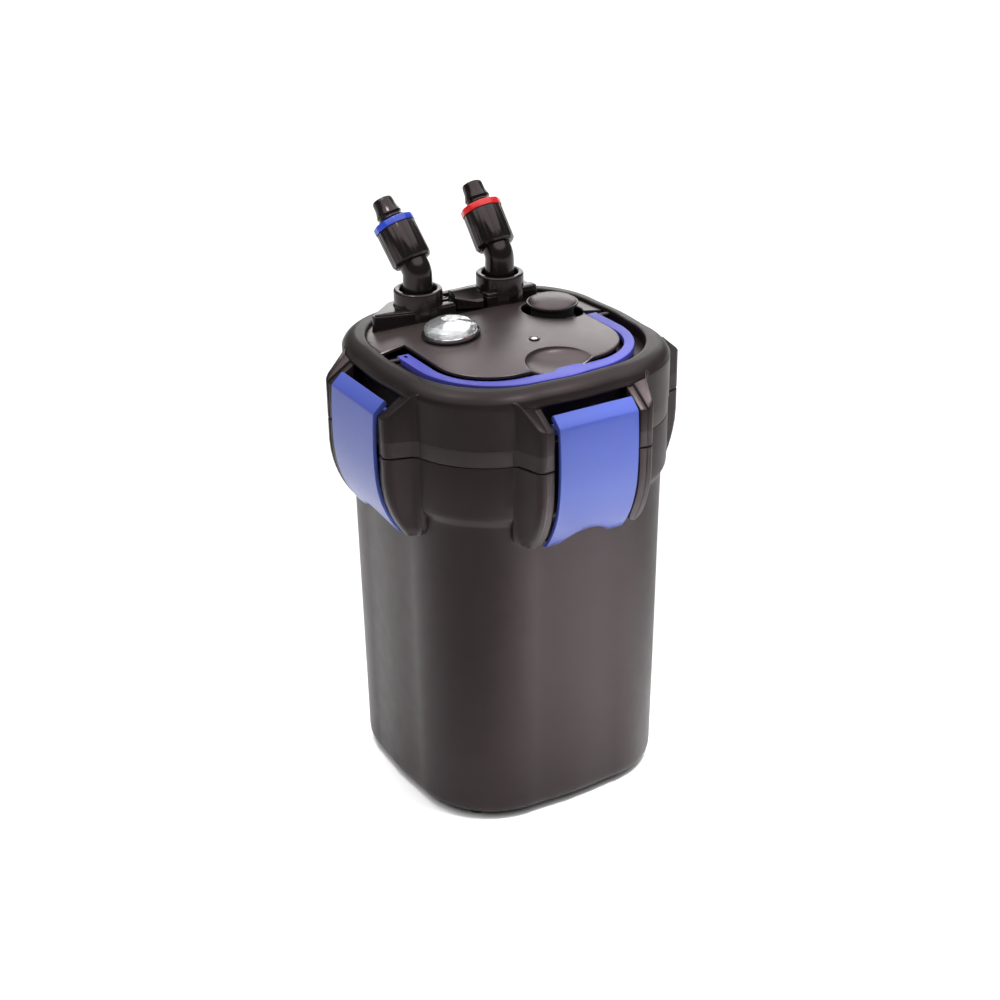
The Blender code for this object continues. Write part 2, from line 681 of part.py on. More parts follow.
def build_valve_lever():
    wedge = [(0.0740, 0.3850), (0.0740, 0.3985), (0.0680, 0.3992), (0.0520, 0.3925),
             (0.0520, 0.3895), (0.0600, 0.3850)]
    sideways = Matrix(((0, 0, 1, 0), (1, 0, 0, 0), (0, 1, 0, 0), (0, 0, 0, 1)))
    lever = prism("valve_lever", wedge, -0.0100, 0.0140, TAP_PLASTIC, sideways)
    hub = rod("lever_hub", 0.0055, (-0.0120, SOCKET_Y, BALL_Z), (0.0160, SOCKET_Y, BALL_Z),
              segments=20)
    fuse(lever, hub)
    move_origin(lever, (0, SOCKET_Y, BALL_Z))


def build_ball(name, side, stem_end):
    """A bored ball on its stem. The stem reaches in to the lever's hub."""
    bm = bmesh.new()
    bmesh.ops.create_uvsphere(bm, u_segments=16, v_segments=10, radius=0.0103)
    ball = from_bmesh(name, bm, WHITE_PLASTIC)
    stem = rod("ball_stem", 0.0026, (0, 0, 0), (stem_end - side * SOCKET_X, 0, 0), segments=12)
    bore = rod("ball_bore", 0.0065, (0, 0, -0.0150), (0, 0, 0.0150), segments=16)
    for item in (ball, stem, bore):
        item.location = (side * SOCKET_X, SOCKET_Y, BALL_Z)
    fuse(ball, stem)
    cut(ball, bore)


def elbow_path():
    """Centreline of an elbow about its own foot: up, then leaning towards local +X."""
    bend = 0.0140
    reach = bend * math.tan(ELBOW_LEAN / 2)
    foot = 0.3990 - ELBOW_BEND_Z
    path = [Vector((0, 0, foot)), Vector((0, 0, -reach))]
    for step in range(1, 5):
        angle = ELBOW_LEAN * step / 4
        path.append(Vector((bend * (1 - math.cos(angle)), 0, bend * math.sin(angle) - reach)))
    lean = Vector((math.sin(ELBOW_LEAN), 0, math.cos(ELBOW_LEAN)))
    path.append(lean * 0.0340)
    return path


def twelve_sided(name, levels, bore, finish):
    """A twelve-sided sleeve from (radius, height) levels with a round bore."""
    rings = []
    flat = math.cos(math.pi / 12)
    for radius, z in levels:
        rings.append([Vector((radius * (1 if index % 2 == 0 else flat) * math.cos(turn),
                              radius * (1 if index % 2 == 0 else flat) * math.sin(turn), z))
                      for index, turn in enumerate(math.pi * step / 12 for step in range(24))])
    for z in (levels[-1][1], levels[0][1]):
        rings.append(ring_of(Vector((0, 0, z)), Vector((1, 0, 0)), Vector((0, 1, 0)), bore, 24))
    return loft(name, rings, finish, closed=True)


def build_tap(name, side, ring_finish):
    """Elbow, nut, coloured ring and hose tail on one socket."""
    heading = ELBOW_HEADING[name]
    bend_point = Vector((side * SOCKET_X, SOCKET_Y, ELBOW_BEND_Z))
    elbow = tube("elbow_" + name, elbow_path(), ELBOW_RADIUS, 0.0085, TAP_PLASTIC, 16)
    nut = twelve_sided("hose_nut_" + name, [(0.0158, 0), (0.0170, 0.0018),
                                            (0.0170, NUT_LENGTH)], 0.0124, TAP_PLASTIC)
    ring_low = NUT_LENGTH + GAP
    ring = twelve_sided("nut_ring_" + name, [(0.0175, ring_low),
                                             (0.0175, ring_low + RING_LENGTH - 0.0008),
                                             (0.0168, ring_low + RING_LENGTH)], 0.0114,
                        ring_finish)
    tip = TAIL_TIP - NUT_START
    tail_outer = [(0.0080, tip), (0.0086, tip - 0.0012), (0.0090, tip - 0.0080),
                  (0.0104, tip - 0.0125), (0.0108, tip - 0.0140), (0.0096, tip - 0.0145),
                  (0.0108, tip - 0.0175), (0.0097, tip - 0.0182), (0.0097, NUT_LENGTH),
                  (0.0117, NUT_LENGTH), (0.0117, 0.0262)]
    tail = turned("hose_tail_" + name, tail_outer + [(0.0066, 0.0262), (0.0066, tip)],
                  TAP_PLASTIC, closed=True, steps=16)
    elbow.location = bend_point
    elbow.rotation_euler.z = heading
    lean = Matrix.Rotation(heading, 4, "Z") @ Matrix.Rotation(ELBOW_LEAN, 4, "Y")
    for item in (nut, ring, tail):
        item.location = bend_point + lean @ Vector((0, 0, NUT_START))
        item.rotation_euler = lean.to_euler()


# Controls on the top plate

def build_flow_indicator():
    chamber = [(0.0, -0.0135), (0.0180, -0.0135), (0.0180, 0.0010), (0.0196, 0.0010),
               (0.0196, -0.0160), (0.0, -0.0160)]
    pieces = [turned("flow_chamber", chamber, WHITE_PLASTIC)]
    bezel = [(0.0192, 0.0046), (0.0224, 0.0046), (0.0236, 0.0030), (0.0236, 0.0018),
             (0.0192, 0.0018)]
    pieces.append(turned("flow_bezel", bezel, TAP_PLASTIC, closed=True))
    lens = [(0.0, 0.0148), (0.0080, 0.0143), (0.0150, 0.0126), (0.0196, 0.0102),
            (0.0212, 0.0084), (0.0212, 0.0049), (0.0190, 0.0049), (0.0186, 0.0078),
            (0.0140, 0.0102), (0.0070, 0.0122), (0.0, 0.0128)]
    pieces.append(turned("flow_lens", lens, CLEAR_PLASTIC))
    pieces.append(build_flow_wheel())
    for piece in pieces:
        piece.location = FLOW_CENTRE
        piece.rotation_euler = FLOW_TILT


def build_flow_wheel():
    """A five-bladed spinner on a short hub."""
    wheel = rod("flow_wheel", 0.0030, (0, 0, -0.0100), (0, 0, 0.0030), WHITE_PLASTIC, 16)
    bm = bmesh.new()
    for index in range(5):
        turn = Matrix.Rotation(2 * math.pi * index / 5, 4, "Z")
        place = turn @ Matrix.Translation((0.0078, 0, -0.0035)) @ Matrix.Diagonal(
            (0.0130, 0.0012, 0.0090, 1))
        bmesh.ops.create_cube(bm, size=1.0, matrix=place)
    blades = from_bmesh("wheel_blades", bm, None)
    blades.location = FLOW_CENTRE
    blades.rotation_euler = FLOW_TILT
    fuse(wheel, blades)
    return wheel


def build_primer():
    x, y = PRIMER_CENTRE
    button = [(0.0, 0.3960), (0.0080, 0.3955), (0.0150, 0.3940), (0.0200, 0.3919),
              (0.0212, 0.3905), (0.0206, 0.3893), (0.0176, 0.3893), (0.0176, 0.3660),
              (0.0160, 0.3660), (0.0160, 0.3870), (0.0, 0.3870)]
    cylinder = [(0.0, 0.3520), (0.0184, 0.3520), (0.0184, 0.3750), (0.0219, 0.3750),
                (0.0219, 0.3500), (0.0, 0.3500)]
    for name, profile, finish in (("primer_button", button, TAP_PLASTIC),
                                  ("primer_cylinder", cylinder, BODY_PLASTIC)):
        item = turned(name, profile, finish)
        item.location = (x, y, 0)
    build_primer_spring()


def build_primer_spring():
    """A compression spring between the cylinder's floor and the button's roof."""
    turns = 5
    low, high = 0.3532, 0.3858
    curve = bpy.data.curves.new("primer_spring", "CURVE")
    curve.dimensions = "3D"
    curve.bevel_depth = 0.0009
    curve.bevel_resolution = 0
    curve.use_fill_caps = True
    spline = curve.splines.new("POLY")
    count = turns * 10
    spline.points.add(count)
    for index, point in enumerate(spline.points):
        angle = 2 * math.pi * index / 10
        height = low + (high - low) * index / count
        point.co = (0.0125 * math.cos(angle), 0.0125 * math.sin(angle), height, 1)
    spring = bpy.data.objects.new("primer_spring_path", curve)
    CUTTERS.objects.link(spring)
    mesh = evaluated_mesh(spring)
    bpy.data.objects.remove(spring)
    bm = bmesh.new()
    bm.from_mesh(mesh)
    bpy.data.meshes.remove(mesh)
    bmesh.ops.remove_doubles(bm, verts=bm.verts, dist=0.00001)
    item = from_bmesh("primer_spring", bm, STEEL)
    item.location = (*PRIMER_CENTRE, 0)


def build_status_lens():
    lens = [(0.0, 0.3872), (0.0022, 0.3868), (0.0036, 0.3858), (0.0036, 0.3815), (0.0, 0.3815)]
    item = turned("status_lens", lens, WHITE_PLASTIC, steps=16)
    item.location = (*STATUS_CENTRE, 0)


# Pump and water ways

def stator_corners():
    x, y = MOTOR_CENTRE
    return [(x + sx * 0.0265, y + sy * 0.0265) for sx in (-1, 1) for sy in (-1, 1)]


def build_motor():
    x, y = MOTOR_CENTRE
    stator = box("stator", (x - 0.0330, y - 0.0330, 0.3120), (x + 0.0330, y + 0.0330, 0.3440),
                 GREY_PLASTIC)
    bore = rod("stator_bore", 0.0154, (x, y, 0.3050), (x, y, 0.3500))
    holes = rods("stator_holes", 0.0019, [((cx, cy, 0.3050), (cx, cy, 0.3500))
                                          for cx, cy in stator_corners()])
    cut(stator, bore, holes)
    screw = [(0.0, 0.3462), (0.0024, 0.3462), (0.0030, 0.3455), (0.0030, 0.3443),
             (0.0016, 0.3443), (0.0016, 0.3056), (0.0, 0.3056)]
    for index, (cx, cy) in enumerate(stator_corners()):
        item = turned("stator_screw_%d" % (index + 1), screw, STEEL, steps=8)
        item.location = (cx, cy, 0)


def build_rotor():
    magnet = [(0.0018, 0.3430), (0.0098, 0.3430), (0.0102, 0.3425), (0.0102, 0.3060),
              (0.0018, 0.3060)]
    hub = [(0.0018, 0.3056), (0.0080, 0.3056), (0.0080, 0.3005), (0.0190, 0.3005),
           (0.0190, 0.2990), (0.0050, 0.2985), (0.0050, 0.2900), (0.0018, 0.2900)]
    shaft = [(0.0, 0.3470), (0.0015, 0.3470), (0.0015, 0.2875), (0.0, 0.2875)]
    upper_bush = [(0.0018, 0.3494), (0.0060, 0.3494), (0.0060, 0.3434), (0.0018, 0.3434)]
    lower_bush = [(0.0018, 0.2896), (0.0045, 0.2896), (0.0045, 0.2862), (0.0018, 0.2862)]
    pieces = [turned("rotor_magnet", magnet, GREY_PLASTIC, True, 16),
              turned("impeller", hub, WHITE_PLASTIC, True, 14),
              turned("rotor_shaft", shaft, CERAMIC, steps=12),
              turned("shaft_bush_upper", upper_bush, RUBBER, True, 12),
              turned("shaft_bush_lower", lower_bush, RUBBER, True, 12)]
    for piece in pieces:
        piece.location = (*MOTOR_CENTRE, 0)
    bm = bmesh.new()
    for index in range(6):
        turn = Matrix.Rotation(2 * math.pi * index / 6, 4, "Z")
        place = turn @ Matrix.Translation((0.0110, 0, 0.2958)) @ Matrix.Diagonal(
            (0.0140, 0.0014, 0.0078, 1))
        bmesh.ops.create_cube(bm, size=1.0, matrix=place)
    vanes = from_bmesh("impeller_vanes", bm, None)
    vanes.location = (*MOTOR_CENTRE, 0)
    fuse(pieces[1], vanes)


def build_impeller_cover():
    """The pump chamber under the deck: suction hole below, outlet at its right."""
    x, y = MOTOR_CENTRE
    profile = [(0.0240, 0.3027), (0.0268, 0.3027), (0.0268, 0.2830), (0.0090, 0.2830),
               (0.0090, 0.2852), (0.0240, 0.2852)]
    cover = turned("impeller_cover", profile, BODY_PLASTIC, closed=True, steps=18)
    cover.location = (x, y, 0)
    bm = bmesh.new()
    for turn in (0, math.pi / 2):
        place = (Matrix.Translation((x, y, 0.2845)) @ Matrix.Rotation(turn, 4, "Z")
                 @ Matrix.Diagonal((0.0200, 0.0020, 0.0024, 1)))
        bmesh.ops.create_cube(bm, size=1.0, matrix=place)
    spider = from_bmesh("cover_spider", bm, None)
    outlet = rod("cover_outlet", 0.0064, (x + 0.0200, y, 0.2928), (x + 0.0300, y, 0.2928),
                 segments=16)
    fuse(cover, spider)
    cut(cover, outlet)


def smooth_path(knots, steps):
    """Points on a smooth curve through the knots."""
    knots = [Vector(knot) for knot in knots]
    padded = [2 * knots[0] - knots[1]] + knots + [2 * knots[-1] - knots[-2]]
    points = []
    for before, start, end, after in zip(padded, padded[1:], padded[2:], padded[3:]):
        for step in range(steps):
            t = step / steps
            points.append(0.5 * (2 * start + (end - before) * t
                                 + (2 * before - 5 * start + 4 * end - after) * t ** 2
                                 + (3 * start - before - 3 * end + after) * t ** 3))
    points.append(knots[-1])
    return points


def build_water_ways():
    x, y = MOTOR_CENTRE
    tube("intake_pipe", [(-SOCKET_X, SOCKET_Y, 0.3706), (-SOCKET_X, SOCKET_Y, 0.0260)],
         0.0096, 0.0078, GREY_PLASTIC)
    level, bend = 0.2928, 0.0120
    knots = [(x + 0.0272, y, level), (0.0325, y + 0.0004, level), (0.0400, -0.0050, level),
             (0.0415, 0.0100, level), (SOCKET_X, SOCKET_Y - bend, level)]
    path = smooth_path(knots, 2)
    for step in range(1, 5):
        angle = math.pi / 2 * step / 4
        path.append((SOCKET_X, SOCKET_Y - bend * (1 - math.sin(angle)),
                     level + bend * (1 - math.cos(angle))))
    path.append((SOCKET_X, SOCKET_Y, 0.3706))
    tube("outlet_duct", path, 0.0088, 0.0066, GREY_PLASTIC, 10)


def build_power_gland():
    """Where the mains lead enters, on the right rear corner of the head."""
    facing = Vector((1, 1, 0)).normalized()
    start = Vector((0.0910, 0.0910, 0.3550))
    gland = rod("power_gland", 0.0045, start, start + facing * 0.0140, RUBBER, 16)
    flange_start = Vector((0.0939, 0.0939, 0.3550)) + facing * 0.0006
    flange = rod("gland_flange", 0.0080, flange_start, flange_start + facing * 0.0030,
                 segments=16)
    bore = rod("gland_bore", 0.0032, start - facing * 0.0050, start + facing * 0.0300,
               segments=12)
    fuse(gland, flange)
    cut(gland, bore)


# Baskets and media

def build_baskets():
    pipe_hole = rod("basket_pipe_hole", 0.0108, (-SOCKET_X, SOCKET_Y, 0.0100),
                    (-SOCKET_X, SOCKET_Y, 0.2900), segments=16)
    layers = (("bottom", CERAMIC, "ceramic_media"), ("middle", SPONGE, "coarse_sponge"),
              ("top", WHITE_PLASTIC, "filter_floss"))
    for low, (name, finish, medium) in zip(BASKET_LOWS, layers):
        high = low + BASKET_HEIGHT
        levels = [(0.0975, low), (0.1005, low + 0.0030), (0.1015, high), (0.0993, high),
                  (0.0985, low + 0.0040), (0.0970, low + 0.0022)]
        basket = housing("basket_" + name, levels, BODY_PLASTIC, steps=3)
        slots = boxes("basket_slots", [((-0.0750, y, low - 0.0020),
                                        (0.0750, y + 0.0060, low + 0.0040))
                                       for y in (-0.07, -0.045, -0.02, 0.005, 0.03)])
        cut(basket, slots, pipe_hole)
        block = housing(medium, [(0.0950, low + 0.0045), (0.0965, high - 0.0060)], finish, steps=3)
        cut(block, pipe_hole)


build_canister()
build_feet()
build_head_base()
build_main_seal()
build_head_cover()
build_top_plate()
build_latches()
build_carry_handle()
build_valve_block()
build_valve_lever()
build_ball("ball_valve_left", -1, -0.0123)
build_ball("ball_valve_right", 1, 0.0163)
build_tap("left", -1, BLUE_PLASTIC)
build_tap("right", 1, RED_PLASTIC)
build_flow_indicator()
build_primer()
build_status_lens()
build_motor()
build_rotor()
build_impeller_cover()
build_water_ways()
build_power_gland()
build_baskets()
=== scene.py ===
"""The looks of an aquarium canister filter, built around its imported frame. Metres, +Z up."""

import math

import bmesh
import bpy
import numpy as np
from mathutils import Matrix, Vector
from mathutils.geometry import delaunay_2d_cdt


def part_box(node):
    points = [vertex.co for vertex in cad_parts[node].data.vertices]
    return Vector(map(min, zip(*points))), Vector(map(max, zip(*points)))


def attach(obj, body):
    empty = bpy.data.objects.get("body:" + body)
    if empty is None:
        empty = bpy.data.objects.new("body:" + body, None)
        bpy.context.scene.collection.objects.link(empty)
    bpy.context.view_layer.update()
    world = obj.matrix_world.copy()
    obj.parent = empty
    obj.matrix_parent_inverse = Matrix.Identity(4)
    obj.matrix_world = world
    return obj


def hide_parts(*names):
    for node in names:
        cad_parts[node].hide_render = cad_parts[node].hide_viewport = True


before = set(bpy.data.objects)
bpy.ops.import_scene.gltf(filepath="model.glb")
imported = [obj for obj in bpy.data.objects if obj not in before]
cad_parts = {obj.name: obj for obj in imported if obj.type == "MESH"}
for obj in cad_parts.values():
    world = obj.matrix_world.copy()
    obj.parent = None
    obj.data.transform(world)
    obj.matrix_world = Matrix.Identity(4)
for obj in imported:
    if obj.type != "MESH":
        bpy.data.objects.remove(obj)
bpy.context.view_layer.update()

GAP = 0.0003
SIDES = ("front", "right", "rear", "left")


def middle(name):
    """Where the middle of a frame node lies in plan."""
    low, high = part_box(name)
    return (low.x + high.x) / 2, (low.y + high.y) / 2


# Heights and widths that the frame gives
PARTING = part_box("canister")[1].z
BAND_LOW = PARTING + GAP
COVER_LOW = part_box("head_cover")[0].z
RIM_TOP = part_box("head_cover")[1].z
PILLAR_FRONT = -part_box("head_cover")[0].y
LATCH_FRONT = -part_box("latch_front")[0].y
LATCH_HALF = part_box("latch_front")[1].x
LATCH_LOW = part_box("latch_front")[0].z
LATCH_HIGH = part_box("latch_front")[1].z
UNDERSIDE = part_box("canister")[0].z
DECK_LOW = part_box("head_base")[0].z

# Housing outline
CORNER_CENTRE = 0.0397
RIM_CENTRE = 0.0300
BULGE = 0.0021
BODY_LOW_HALF = 0.1082
BODY_HIGH_HALF = 0.1113
COLLAR_LOW = 0.2720
COLLAR_HIGH = 0.2810
COLLAR_HALF = 0.1157
LID_HALF = 0.1161
WALL_TOP = RIM_TOP - 0.0094
RIM_INNER = 0.1002
CHANNEL_FLOOR = RIM_TOP - 0.0104
POCKET_HALF = 0.0381
POCKET_BACK = 0.1086
POCKET_ROOF = RIM_TOP - 0.0130
POCKET_LOW = 0.2690

# Pillars beside the latches
PILLAR_MIDDLE = 0.0475
PILLAR_LOW = 0.2532
PILLAR_ROUND_TOP = 0.2650

# Where the two taps stand in plan
SOCKETS = ((-0.0387, 0.0713), (0.0387, 0.0713))

# Latches, whose face leans in above a widest height and curves in below it
LATCH_BULGE_Z = 0.3250
LATCH_FOLD_Z = 0.3564


# Meshes

def arc_corner(before, corner, after, radius, steps):
    """Points that round one corner of a polyline."""
    before, corner, after = (np.array(p, float) for p in (before, corner, after))
    to_before, to_after = before - corner, after - corner
    length_before, length_after = np.linalg.norm(to_before), np.linalg.norm(to_after)
    reach = min(radius, 0.48 * length_before, 0.48 * length_after)
    start = corner + to_before * reach / max(length_before, 1e-9)
    end = corner + to_after * reach / max(length_after, 1e-9)
    points = []
    for step in range(steps + 1):
        t = step / steps
        points.append((1 - t) ** 2 * start + 2 * t * (1 - t) * corner + t ** 2 * end)
    return points


def rounded(points, radius, steps=4, closed=True):
    """A polyline with its corners rounded. The radius is one number or one for each corner."""
    count = len(points)
    radii = radius if hasattr(radius, "__len__") else [radius] * count
    result = []
    for index, corner in enumerate(points):
        at_end = not closed and index in (0, count - 1)
        if at_end or radii[index] == 0:
            result.append(np.array(corner, float))
            continue
        result += arc_corner(points[index - 1], corner, points[(index + 1) % count],
                             radii[index], steps)
    return result


def circle(radius, centre=(0.0, 0.0), steps=48):
    return [(centre[0] + radius * math.cos(2 * math.pi * step / steps),
             centre[1] + radius * math.sin(2 * math.pi * step / steps)) for step in range(steps)]


def rectangle(left, front, right, back):
    return [(left, front), (right, front), (right, back), (left, back)]


def level(outline, z):
    """A plan outline as a ring at one height."""
    return [(x, y, z) for x, y in outline]


def in_plan(ring):
    return [(point.x, point.y) for point in ring]


class Shape:
    """Closed shells gathered into one mesh object."""

    def __init__(self):
        self.points = []
        self.faces = []

    def add(self, points, faces, place=None):
        start = len(self.points)
        for point in points:
            point = Vector(point)
            self.points.append(tuple(place @ point if place is not None else point))
        self.faces += [tuple(start + index for index in face) for face in faces]
        return self

    def skin(self, rings, wrap=False, place=None):
        """Rings of equally many points, joined in turn. Ends are capped unless they join."""
        count = len(rings[0])
        faces = []
        pairs = list(range(len(rings) - 1)) + ([len(rings) - 1] if wrap else [])
        for index in pairs:
            low, high = index * count, (index + 1) % len(rings) * count
            for step in range(count):
                after = (step + 1) % count
                faces.append((low + step, low + after, high + after, high + step))
        if not wrap:
            faces.append(tuple(reversed(range(count))))
            faces.append(tuple(range((len(rings) - 1) * count, len(rings) * count)))
        return self.add([point for ring in rings for point in ring], faces, place)

    def turned(self, profile, steps=64, wrap=False, place=None):
        """An (r, z) profile turned about Z."""
        rings = [level(circle(max(radius, 1e-5), steps=steps), z) for radius, z in profile]
        return self.skin(rings, wrap, place)

    def slab(self, outline, low, high, edge=0.0, steps=3, place=None):
        """A flat outline made solid between two heights, with its edges rounded."""
        levels = [(0.0, low), (0.0, high)]
        if edge:
            levels = rounded([(edge * 3, low), (0.0, low), (0.0, high), (edge * 3, high)],
                             edge, steps, closed=False)[1:-1]
        rings = [level(inset(outline, distance), z) for distance, z in levels]
        return self.skin(rings, False, place)

    def build(self, name, body, finish, slot, *stands_for, sharp=32):
        """The finished object, riding on its body in place of the frame's nodes."""
        mesh = bpy.data.meshes.new(name)
        mesh.from_pydata(self.points, [], self.faces)
        bm = bmesh.new()
        bm.from_mesh(mesh)
        bmesh.ops.remove_doubles(bm, verts=bm.verts, dist=1e-6)
        bmesh.ops.recalc_face_normals(bm, faces=bm.faces)
        bm.to_mesh(mesh)
        bm.free()
        mesh.materials.append(finish)
        mesh.shade_smooth()
        mesh.set_sharp_from_angle(angle=math.radians(sharp))
        item = bpy.data.objects.new(name, mesh)
        bpy.context.scene.collection.objects.link(item)
        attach(item, body)
        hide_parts(*stands_for)
        return item


def inset(outline, distance):
    """The outline moved inwards, for one that runs counter-clockwise."""
    if distance == 0:
        return [tuple(point) for point in outline]
    points = np.array(outline, float)
    ahead = np.roll(points, -1, 0) - points
    ahead /= np.maximum(np.linalg.norm(ahead, axis=1, keepdims=True), 1e-9)
    normals = np.stack([-ahead[:, 1], ahead[:, 0]], 1)
    mean = normals + np.roll(normals, 1, 0)
    scale = 2 / np.maximum((mean ** 2).sum(1, keepdims=True), 0.5)
    return [tuple(point) for point in points + distance * mean * scale]


def smooth_max(a, b, softness=0.0007):
    return 0.5 * (a + b + math.sqrt((a - b) ** 2 + softness ** 2))


def smooth_min(a, b, softness=0.0003):
    return 0.5 * (a + b - math.sqrt((a - b) ** 2 + softness ** 2))


def spline(knots, steps):
    """Points on a smooth curve through the knots."""
    knots = [np.array(knot, float) for knot in knots]
    padded = [2 * knots[0] - knots[1]] + knots + [2 * knots[-1] - knots[-2]]
    points = []
    for before, start, end, after in zip(padded, padded[1:], padded[2:], padded[3:]):
        for step in range(steps):
            t = step / steps
            points.append(0.5 * (2 * start + (end - before) * t
                                 + (2 * before - 5 * start + 4 * end - after) * t ** 2
                                 + (3 * start - before - 3 * end + after) * t ** 3))
    points.append(knots[-1])
    return points


def sweep_rings(path, radii, steps=56):
    """Round rings about a path, with a radius for each of its points."""
    path = [Vector(point) for point in path]
    side = (path[1] - path[0]).normalized().orthogonal().normalized()
    rings = []
    for index, (point, radius) in enumerate(zip(path, radii)):
        tangent = path[min(index + 1, len(path) - 1)] - path[max(index - 1, 0)]
        tangent.normalize()
        side = (side - tangent * side.dot(tangent)).normalized()
        other = tangent.cross(side)
        rings.append([point + radius * (math.cos(turn) * side + math.sin(turn) * other)
                      for turn in (2 * math.pi * step / steps for step in range(steps))])
    return rings


def plate(shape, outline, holes, top, bottom, spacing, edge=0.0006, creases=()):
    """A sheet with holes between two height functions. Its upper edges are rounded off.

    Creases are points its faces meet at, for a sharp turn in its height.
    """
    def on_sheet(x, y, loops):
        return within(loops[0], x, y) and not any(within(loop, x, y) for loop in loops[1:])

    loops = [outline] + list(holes)
    bands = [inset(outline, edge)] + [inset(hole, -edge) for hole in holes]
    flat, edges = [], []
    for loop in loops + bands:
        start = len(flat)
        flat += [Vector((x, y)) for x, y in loop]
        edges += [(start + step, start + (step + 1) % len(loop)) for step in range(len(loop))]
    border_count = sum(len(loop) for loop in loops)
    loops = [np.array(loop) for loop in loops]
    bands = [np.array(band) for band in bands]
    low, high = bands[0].min(0), bands[0].max(0)
    marks = np.array(creases) if len(creases) else np.full((1, 2), np.inf)
    grid = [(x, y) for x in np.arange(low[0], high[0], spacing)
            for y in np.arange(low[1], high[1], spacing)
            if np.hypot(marks[:, 0] - x, marks[:, 1] - y).min() > spacing * 0.6]
    for x, y in grid + list(creases):
        if on_sheet(x, y, bands):
            flat.append(Vector((x, y)))
    verts, _, faces, origins, _, _ = delaunay_2d_cdt(flat, edges, [], 0, 1e-7)
    kept = []
    for face in faces:
        x = sum(verts[index].x for index in face) / len(face)
        y = sum(verts[index].y for index in face) / len(face)
        if on_sheet(x, y, loops):
            kept.append(tuple(face))
    on_border = [any(origin < border_count for origin in sources) for sources in origins]
    count = len(verts)
    points = []
    for vert, border in zip(verts, on_border):
        height = top(vert.x, vert.y)
        points.append((vert.x, vert.y, height - (edge * 0.8 if border else 0)))
    points += [(vert.x, vert.y, bottom(vert.x, vert.y)) for vert in verts]
    sides = dict.fromkeys((start, end) for face in kept
                          for start, end in zip(face, face[1:] + face[:1]))
    walls = [(end, start, start + count, end + count) for start, end in sides
             if (end, start) not in sides]
    under = [tuple(index + count for index in reversed(face)) for face in kept]
    return shape.add(points, kept + under + walls)


def within(polygon, x, y):
    """Whether a point is inside a polygon."""
    ax, ay = polygon[:, 0], polygon[:, 1]
    bx, by = np.roll(ax, -1), np.roll(ay, -1)
    spans = (ay > y) != (by > y)
    crossing = ax + (y - ay) / np.where(spans, by - ay, 1) * (bx - ax)
    return bool(np.count_nonzero(spans & (x < crossing)) % 2)


def block(shape, low, high, edge=0.0006, place=None):
    """A box with its long edges rounded."""
    outline = rounded(rectangle(low[0], low[1], high[0], high[1]), edge, 3)
    return shape.slab(outline, low[2], high[2], edge * 0.6, 2, place)


def quarter(index):
    return Matrix.Rotation(index * math.pi / 2, 4, "Z")


# Finishes

def node(tree, kind, **values):
    """A new node, with values for its sockets and settings."""
    item = tree.nodes.new(kind)
    for key, value in values.items():
        socket = key.replace("_", " ")
        if socket in item.inputs:
            item.inputs[socket].default_value = value
        else:
            setattr(item, key, value)
    return item


def noise(tree, scale, detail=3.0, stretch=(1, 1, 1)):
    """A noise value in object space, with metres stretched along an axis."""
    where = node(tree, "ShaderNodeTexCoord")
    stretched = node(tree, "ShaderNodeMapping", Scale=stretch)
    tree.links.new(where.outputs["Object"], stretched.inputs["Vector"])
    texture = node(tree, "ShaderNodeTexNoise", Scale=scale, Detail=detail)
    tree.links.new(stretched.outputs["Vector"], texture.inputs["Vector"])
    return texture.outputs["Fac"]


def spread(tree, value, low, high):
    """The middle of a noise value spread between two numbers."""
    item = node(tree, "ShaderNodeMapRange", From_Min=0.3, From_Max=0.7, To_Min=low, To_Max=high)
    tree.links.new(value, item.inputs["Value"])
    return item.outputs["Result"]


def plastic(name, colour, roughness, vary=0.12, grain=0.00002, size=0.0009, cloud=14,
            stretch=(1, 1, 1), **sockets):
    """A moulded finish: tone and gloss drift a little, over a fine surface grain."""
    material = bpy.data.materials.new(name)
    material.use_nodes = True
    tree = material.node_tree
    shader = tree.nodes["Principled BSDF"]
    for key, value in sockets.items():
        shader.inputs[key.replace("_", " ")].default_value = value
    drift = noise(tree, cloud, 4.0)
    mix = node(tree, "ShaderNodeMix", data_type="RGBA")
    mix.inputs["A"].default_value = (*[part * (1 - vary) for part in colour], 1)
    mix.inputs["B"].default_value = (*[min(1, part * (1 + vary)) for part in colour], 1)
    tree.links.new(spread(tree, drift, 0, 1), mix.inputs["Factor"])
    tree.links.new(mix.outputs["Result"], shader.inputs["Base Color"])
    fine = noise(tree, 1 / size, 2.0, stretch)
    gloss = node(tree, "ShaderNodeMath", operation="ADD")
    tree.links.new(spread(tree, noise(tree, cloud * 5, 3.0), roughness * 0.93, roughness * 1.05),
                   gloss.inputs[0])
    tree.links.new(spread(tree, fine, -0.02 * roughness, 0.02 * roughness), gloss.inputs[1])
    tree.links.new(gloss.outputs[0], shader.inputs["Roughness"])
    bump = node(tree, "ShaderNodeBump", Strength=0.6, Distance=grain)
    tree.links.new(fine, bump.inputs["Height"])
    tree.links.new(bump.outputs["Normal"], shader.inputs["Normal"])
    return material


def housing(name, colour, roughness, shine, **values):
    """Black moulded plastic, with a little warmth in its shine."""
    return plastic(name, colour, roughness, Specular_IOR_Level=shine,
                   Specular_Tint=(1.0, 0.80, 0.83, 1.0), **values)


